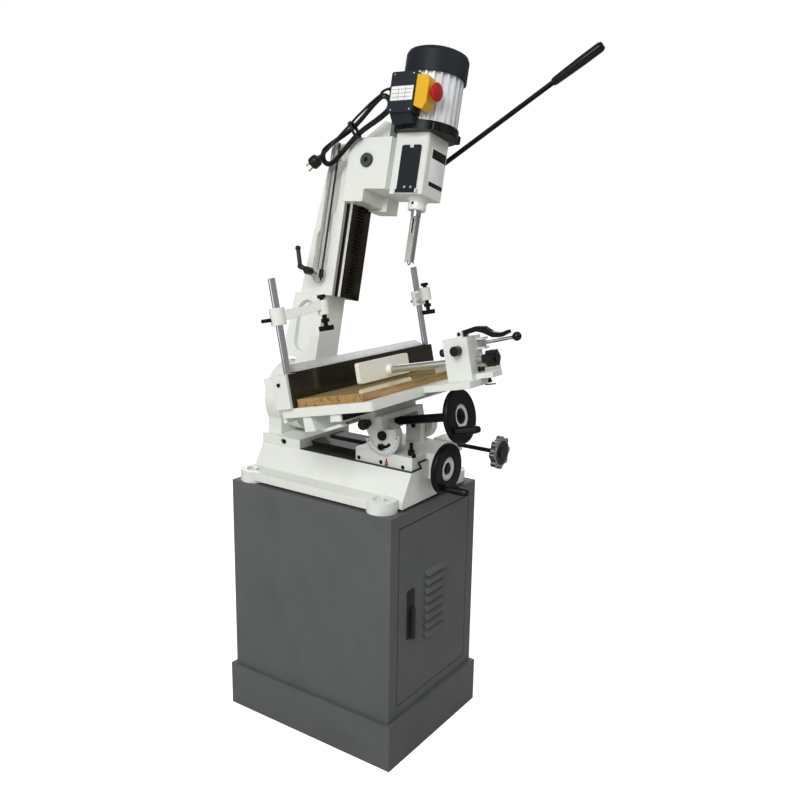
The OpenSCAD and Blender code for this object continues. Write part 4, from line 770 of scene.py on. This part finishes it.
hood = slab(HOOD_WIDE, HOOD_TALL, HOOD_OUT, corner=5, rim=0)
enter(hood, faces=lambda middle, normal: normal.z > 0.9)
bpy.ops.transform.rotate(value=HOOD_SLOPE, orient_axis="X", center_override=(0, -HOOD_TALL / 2, HOOD_OUT))
set_in("louvre_hoods", GROUND, "door", cabinet_powder, copies(
    outward(hood), [spot(0, DOOR_FACE, LOUVRE_LOW + LOUVRE_PITCH * row, "front") for row in range(LOUVRES)]))
shaft_hole = turned([(6.5, -1), (6.5, LATCH_THICK + 1.5)], 24)
shaft_hole.location = (1, -1.5, 0)
set_in("latch_plate", GROUND, "door", dark_nylon, copies(
    cut(slab(LATCH_WIDE, LATCH_TALL, LATCH_THICK, corner=5, rim=0.6), shaft_hole),
    [spot(LATCH_X, DOOR_FACE, LATCH_Z, "front")]))

# Saddle: gib screws, the wiper at its front, the red pointer and its screw
SADDLE_SIDE, SADDLE_FRONT = -100, -265
GIB_SCREWS = ((-91, 814), (-165, 814), (-236, 812))
WIPER_STRIPS = (((-33, 824), (-73, 824)), ((-72.5, 824.5), (-60.5, 805.5)), ((-60, 806), (-99, 806)))
POINTER_Y, POINTER_Z, POINTER_WIDE, POINTER_LONG, POINTER_THICK = -183, 817, 11, 20, 1.2

set_in("gib_screws", GROUND, "cross_carriage", black_enamel, copies(
    socket_screw(5.5, 1.6), [spot(SADDLE_SIDE, y, z, "left") for y, z in GIB_SCREWS]))
wiper = []
for (x0, z0), (x1, z1) in WIPER_STRIPS:
    strip = slab(math.hypot(x1 - x0, z1 - z0) + 2, 2.4, 1.4, corner=0.5, rim=0.3)
    slope = math.degrees(math.atan2(z1 - z0, x1 - x0))
    wiper.append(copies(strip, [spot((x0 + x1) / 2, SADDLE_FRONT, (z0 + z1) / 2, "front", slope)]))
set_in("way_wiper", GROUND, "cross_carriage", black_rubber_and_shade, joined(wiper))
pointer = slab(POINTER_WIDE, POINTER_LONG, POINTER_THICK, corner=1.5, rim=0.3)
enter(pointer, faces=lambda middle, normal: middle.y > POINTER_LONG / 5)
bpy.ops.transform.resize(value=(0.25, 1, 1), center_override=(0, POINTER_LONG / 2, 0))
set_in("tilt_pointer", GROUND, "cross_carriage", red_paint, copies(
    pointer, [spot(SADDLE_SIDE, POINTER_Y, POINTER_Z, "left")]))
set_in("pointer_screw", GROUND, "cross_carriage", zinc_plate, copies(
    pan_screw(2.6, 1.8),
    [spot(SADDLE_SIDE - POINTER_THICK, POINTER_Y, POINTER_Z - POINTER_LONG / 4, "left")]))

# Table pivot: lines of the tilt scale, its screws, the arc slot as a flat black arc of painted shade and the
# lock bolt in it, and the table's lock
TRUNNION_SIDE, SCALE_FACE, SCALE_RIM, SHORT_FROM, LONG_FROM = -101, -104, 55.4, 50, 46
TILT_MARKS = range(-75, 76, 5)
SCALE_SCREWS = ((-46.5, -9.5), (46.5, -9.5))
ARC_R, ARC_WIDE, ARC_START, ARC_SWEEP = 31, 8, -50, 80
LOCK_BOLT, TABLE_LOCK = (8, -30), (40, 36)


def tilt_line(angle, inner):
    """A place for a line from an inner radius to the scale's rim."""
    a, middle = math.radians(angle), (inner + SCALE_RIM) / 2
    return spot(SCALE_FACE, middle * math.sin(a), -middle * math.cos(a), "left", -angle)


ruled("tilt_lines", TABLE, "tilt_bracket",
      (SCALE_RIM - SHORT_FROM, [tilt_line(a, SHORT_FROM) for a in TILT_MARKS if a % 15]),
      (SCALE_RIM - LONG_FROM, [tilt_line(a, LONG_FROM) for a in TILT_MARKS if a % 15 == 0]))
eyed_screws("scale", TABLE, "tilt_bracket", 5.2, 2.4, [(SCALE_FACE, y, z) for y, z in SCALE_SCREWS])
# The arc slot is not cut: a flat black arc on the face is painted shade for it
begin()
bpy.ops.mesh.primitive_plane_add(size=1, rotation=(math.radians(90), 0, 0))
arc = bpy.context.view_layer.objects.active
arc.scale = (ARC_WIDE, 1, 1)
arc.location = (ARC_R, 0, 0.1)
apply_all(arc)
enter(arc)
bpy.ops.mesh.spin(steps=20, angle=math.radians(ARC_SWEEP), center=(0, 0, 0), axis=(0, 0, 1))
set_in("arc_slot_shade", TABLE, "tilt_bracket", black_rubber_and_shade, copies(
    outward(arc), [spot(TRUNNION_SIDE, 0, 0, "left", ARC_START)]))
set_in("tilt_lock_bolt", TABLE, "cross_carriage", black_enamel, copies(
    socket_screw(8.6, 9), [spot(TRUNNION_SIDE - 0.3, *LOCK_BOLT, "left")]))
set_in("table_lock_knob", TABLE, "tilt_bracket", phenolic, copies(
    hand_knob(15, 34), [spot(TRUNNION_SIDE, *TABLE_LOCK, "left")]))

# Table: a black strip along its front slide jaw, painted shade for that face, and the strip's screws
JAW_FACE, SHADE_STRIP_X, SHADE_STRIP_Z, SHADE_STRIP_LONG, SHADE_STRIP_TALL, SHADE_STRIP_THICK = -22, 41.5, 81.5, 640, 17, 2

set_in("table_shade_strip", TABLE, "work_table", black_enamel, copies(
    slab(SHADE_STRIP_LONG, SHADE_STRIP_TALL, SHADE_STRIP_THICK, corner=1, rim=0.4), [spot(SHADE_STRIP_X, JAW_FACE, SHADE_STRIP_Z, "front")]))
set_in("table_strip_screws", TABLE, "work_table", zinc_plate, copies(
    socket_screw(5, 1.6), [spot(x, JAW_FACE - SHADE_STRIP_THICK, SHADE_STRIP_Z, "front") for x in (-150, -4, 140)]))

# Handwheels: a thick dial in each dish, nearly flush with the rim, a nut on the screw, a cap on the shaft
DIAL_R, DIAL_T, DIAL_EASE, DIAL_SHORT, DIAL_LONG = 33.4, 12, 1, 4, 6
DIAL_MARKS = range(0, 360, 9)
LOWER_Y, LOWER_Z, UPPER_Y, UPPER_Z = -302, 798, -177, 22


def dial_line(y, z, angle, length):
    """A place for a line at a dial's rim."""
    a, reach = math.radians(angle), DIAL_R - DIAL_EASE - length / 2
    return spot(reach * math.sin(a), y - DIAL_T, z + reach * math.cos(a), "front", -angle)


for name, frame_at, body, y, z, inner in (("lower_dial", GROUND, "cross_wheel", LOWER_Y, LOWER_Z, 17.5),
                                          ("upper_dial", TABLE, "feed_wheel", UPPER_Y, UPPER_Z, 21.5)):
    dial = turned([(inner, 0), (DIAL_R, 0), (DIAL_R, DIAL_T - DIAL_EASE), (DIAL_R - DIAL_EASE, DIAL_T),
                   (inner + DIAL_EASE, DIAL_T), (inner, DIAL_T - DIAL_EASE)], 64, closed=True)
    set_in(name, frame_at, body, dial_alloy, copies(dial, [spot(0, y, z, "front")]))
    ruled(name + "_lines", frame_at, body,
          (DIAL_SHORT, [dial_line(y, z, a, DIAL_SHORT) for a in DIAL_MARKS if a % 45]),
          (DIAL_LONG, [dial_line(y, z, a, DIAL_LONG) for a in DIAL_MARKS if a % 45 == 0]))
set_in("screw_nut", GROUND, "cross_wheel", black_enamel, copies(
    hex_nut(13, 7), [spot(0, LOWER_Y - 7.2, LOWER_Z, "front")]))
set_in("shaft_cap", TABLE, "feed_wheel", black_enamel, copies(
    socket_screw(9, 4), [spot(0, UPPER_Y - 13, UPPER_Z, "front")]))

# Fence: the graduated ruler that leans on its lip, and the casting's clamp screw
RULER_LONG, RULER_DEEP, RULER_HIGH, RULER_EDGE = 588, 27, 18, 1
RULER_X, RULER_Y, RULER_Z = 44, 137.5, 206
RULER_MARKS, RULER_SHORT, RULER_TALL = range(-246, 335, 10), 8, 14
LEAN = math.atan2(RULER_HIGH, RULER_DEEP)
POST_CLAMP = (-299, 152, 179)


def ruler_line(x, length):
    """A place for a line that rises from the ruler's lower edge."""
    up = 1 + length / 2
    return spot(x, RULER_Y - RULER_DEEP / 2 + up * math.cos(LEAN), RULER_Z + RULER_EDGE + up * math.sin(LEAN),
                "top") @ Matrix.Rotation(LEAN, 4, "X")


ruler = slab(RULER_LONG, RULER_DEEP, RULER_HIGH + RULER_EDGE, corner=0.5, rim=0)
enter(ruler, edges=lambda a, b: min(a.z, b.z) > RULER_HIGH and max(a.y, b.y) < -12)
bpy.ops.transform.translate(value=(0, 0, -RULER_HIGH))
set_in("fence_ruler", TABLE, "work_table", satin_alloy, copies(
    outward(ruler), [spot(RULER_X, RULER_Y, RULER_Z, "top")]))
ruled("fence_lines", TABLE, "work_table",
      (RULER_SHORT, [ruler_line(x, RULER_SHORT) for x in RULER_MARKS if x % 50 != 4]),
      (RULER_TALL, [ruler_line(x, RULER_TALL) for x in RULER_MARKS if x % 50 == 4]))
set_in("post_clamp_screw", TABLE, "work_table", black_enamel, copies(
    socket_screw(5, 4), [spot(*POST_CLAMP, "left")]))

# Vise: the rod's lock knob under the lobed one, the back knob, and the wing screw under the lip
ROD_LOCK, BACK_KNOB = (22, -250, 138), (-3, -176, 192)
WING_BLADE, WING_STEM = (12, -283, 106), (12, -283, 115)

set_in("rod_lock_knob", TABLE, "work_table", phenolic, copies(
    turned([(7, 0), (7, 3), (4, 4), (4, 7), (5.8, 9), (6.6, 12), (5.8, 14.6), (3.2, 16)], 24),
    [spot(*ROD_LOCK, "front")]))
set_in("vise_back_knob", TABLE, "work_table", phenolic, copies(
    hand_knob(11, 18, 14), [spot(*BACK_KNOB, "back")]))
wing = slab(7, 30, 3, corner=2, rim=0.6)
enter(wing, edges=lambda a, b: abs(a.y) > 12 and abs(b.y) > 12)
bpy.ops.transform.translate(value=(0, 0, 7))
set_in("wing_blade", TABLE, "work_table", black_enamel, copies(
    wing, [spot(*WING_BLADE, "under")]))
set_in("wing_stem", TABLE, "work_table", black_enamel, copies(
    turned([(4, 0), (4, 7), (6, 8), (6, 11), (4.6, 12)], 20), [spot(*WING_STEM, "under")]))

# Column: lines and end screws of the stop bar, and the pedestal's clamp screw
BAR_FACE, BAR_Y, BAR_ENDS = -66, 150, (345, 722)
BAR_MARKS, BAR_SHORT_Y, BAR_LONG_Y = range(385, 715, 5), 159.3, 158
PEDESTAL_SCREW = (-113, 168, 818)

ruled("stop_lines", COLUMN, "tilt_column",
      (5, [spot(BAR_FACE, BAR_SHORT_Y, s, "left", 90) for s in BAR_MARKS if s % 25]),
      (7.5, [spot(BAR_FACE, BAR_LONG_Y, s, "left", 90) for s in BAR_MARKS if s % 25 == 0]))
eyed_screws("bar", COLUMN, "tilt_column", 6.5, 4, [(BAR_FACE, BAR_Y, s) for s in BAR_ENDS])
set_in("pedestal_screw", GROUND, "frame", black_enamel, copies(
    socket_screw(6.5, 3), [spot(*PEDESTAL_SCREW, "left")]))

# Head: pinion cap with its socket and a dark disc of painted shade at its bottom, cover screws, set screw in
# the neck, and a bare plate with two bands
CAP_X, CAP_Y, CAP_Z = -80, 22, 677
COVER_SCREWS = ((-56.8, -101.4, 607), (-56.8, -121.6, 607))
NECK_SCREW = (-20, -114, 572)
PLATE_X, PLATE_Y, PLATE_Z, PLATE_THICK = 10, -156, 669.5, 0.5
# Each band's height and middle
PLATE_BANDS = ((25, 706.5), (12, 625.5))

cap = turned([(18, 0), (18.8, 0.6), (18.8, 3), (17.6, 4), (13, 4), (12, 2.8)], 40)
set_in("pinion_cap", COLUMN, "feed_pinion", black_oxide, copies(
    cut(cap, turned([(7.5, 0.6), (7.5, 5)], 6)), [spot(CAP_X, CAP_Y, CAP_Z, "left")]))
# Painted shade: a dark disc at the bottom of the cap's shallow socket
set_in("cap_socket_shade", COLUMN, "feed_pinion", black_rubber_and_shade, copies(
    turned([(7.3, 0), (7.3, 0.3), (6.6, 0.6)], 6), [spot(CAP_X - 0.4, CAP_Y, CAP_Z, "left")]))
set_in("cover_screws", COLUMN, "cover", zinc_plate, copies(
    pan_screw(4.4, 2.6), [spot(*place, "left") for place in COVER_SCREWS]))
set_in("neck_screw", COLUMN, "tool_head", blued_steel, copies(
    socket_screw(3.7, 6), [spot(*NECK_SCREW, "left")]))
set_in("head_plate", COLUMN, "tool_head", white_print, copies(
    slab(74, 105, PLATE_THICK, corner=2, rim=0.15), [spot(PLATE_X, PLATE_Y, PLATE_Z, "front")]))
set_in("head_plate_bands", COLUMN, "tool_head", black_print, joined([
    copies(slab(70, high, 0.3, corner=1, rim=0.1), [spot(PLATE_X, PLATE_Y - PLATE_THICK, middle, "front")])
    for high, middle in PLATE_BANDS]))

# Motor: bolts through the flange's lugs, and the switch box's screws and bare plate
MOTOR_Y, FLANGE_TOP, LUG_R = -114, 776, 81
LUGS = [math.radians(a) for a in (45, 135, 225, 315)]
BOX_FACE, BOX_Y, BOX_Z = -122, -97, 839
BOX_SCREW_OUT, BOX_SCREW_ROWS = 30, (796, 890)

set_in("flange_bolts", COLUMN, "tool_head", black_enamel, copies(
    hex_nut(7.5, 5),
    [spot(LUG_R * math.cos(a), MOTOR_Y + LUG_R * math.sin(a), FLANGE_TOP, "top") for a in LUGS]))
set_in("box_screws", COLUMN, "tool_head", zinc_plate, copies(
    pan_screw(3, 1.8), [spot(BOX_FACE, BOX_Y + side * BOX_SCREW_OUT, row, "left")
                        for side in (1, -1) for row in BOX_SCREW_ROWS]))
set_in("box_plate", COLUMN, "tool_head", white_print, copies(
    slab(70, 38, PLATE_THICK, corner=1.5, rim=0.15), [spot(BOX_FACE, BOX_Y, BOX_Z, "left")]))
ruled("box_plate_rules", COLUMN, "tool_head",
      (62, [spot(BOX_FACE - PLATE_THICK, BOX_Y, BOX_Z + up, "left", 90) for up in (-10, 0, 10)]),
      (30, [spot(BOX_FACE - PLATE_THICK, BOX_Y + side, BOX_Z, "left") for side in (11, -11)]))

# Lead: the tie at the waist of its hank
TIE_WIDE, TIE_TALL, TIE_DEEP, TIE_WALL = 31, 52, 9, 1.5

hole = slab(TIE_WIDE - 2 * TIE_WALL, TIE_TALL - 2 * TIE_WALL, 30, corner=8, rim=0)
waist = Matrix((OUTWARD, ACROSS, ALONG)).transposed().to_4x4()
waist.translation = hank_at(-4.5, 1, 5)
set_in("lead_tie", COLUMN, "tool_head", dark_nylon, copies(
    cut(slab(TIE_WIDE, TIE_TALL, TIE_DEEP, corner=9, rim=0.5), hole), [waist]))

# Studio: a pale floor, soft lamps, and a backdrop that only the camera sees white, so metal keeps dark bands
WORLD_LIGHT, FLOOR_GLOW = 0.3, 0.9
LAMPS_AIM = Vector((0, -0.05, 0.95))
# Each lamp's name, place, size and power
LAMPS = (("key", (-3.2, -0.7, 3.3), 2.0, 104), ("side", (-3.0, 1.6, 1.6), 2.0, 14),
         ("back", (2.8, 2.0, 2.8), 2.4, 40), ("front", (0.9, -2.7, 3.4), 2.0, 26))


def make_world():
    """Soft light from all round, white to the camera."""
    scene = bpy.context.scene
    scene.view_settings.view_transform = "Standard"
    scene.world = bpy.data.worlds.new("studio")
    scene.world.use_nodes = True
    tree = scene.world.node_tree
    tree.nodes.clear()
    seen = add(tree, "ShaderNodeLightPath").outputs["Is Camera Ray"]
    strength = add(tree, "ShaderNodeMapRange", {
        "Value": seen, "To Min": WORLD_LIGHT, "To Max": 1.0}).outputs["Result"]
    background = add(tree, "ShaderNodeBackground", {"Color": (1, 1, 1, 1), "Strength": strength})
    add(tree, "ShaderNodeOutputWorld", {"Surface": background.outputs["Background"]})


def make_floor():
    """A plain matt floor that the camera sees nearly white."""
    begin()
    bpy.ops.mesh.primitive_plane_add(size=24, location=(0, 0, -0.0005))
    floor = bpy.context.view_layer.objects.active
    floor.name = "studio_floor"
    material, tree = fresh("studio_floor")
    seen = add(tree, "ShaderNodeLightPath").outputs["Is Camera Ray"]
    glow = add(tree, "ShaderNodeMath", {0: seen, 1: FLOOR_GLOW}, operation="MULTIPLY").outputs["Value"]
    floor.data.materials.append(shaded(material, {
        "Base Color": linear("#c9c9c7"), "Roughness": 0.9, "Emission Color": (1, 1, 1, 1),
        "Emission Strength": glow}))


def make_lamps():
    """Soft square lamps that look at the machine's middle."""
    for name, place, size, power in LAMPS:
        lamp = bpy.data.lights.new(name, "AREA")
        lamp.size = size
        lamp.energy = power
        holder = bpy.data.objects.new(name, lamp)
        bpy.context.scene.collection.objects.link(holder)
        holder.location = place
        holder.rotation_euler = (LAMPS_AIM - Vector(place)).to_track_quat("-Z", "Y").to_euler()


make_world()
make_floor()
make_lamps()
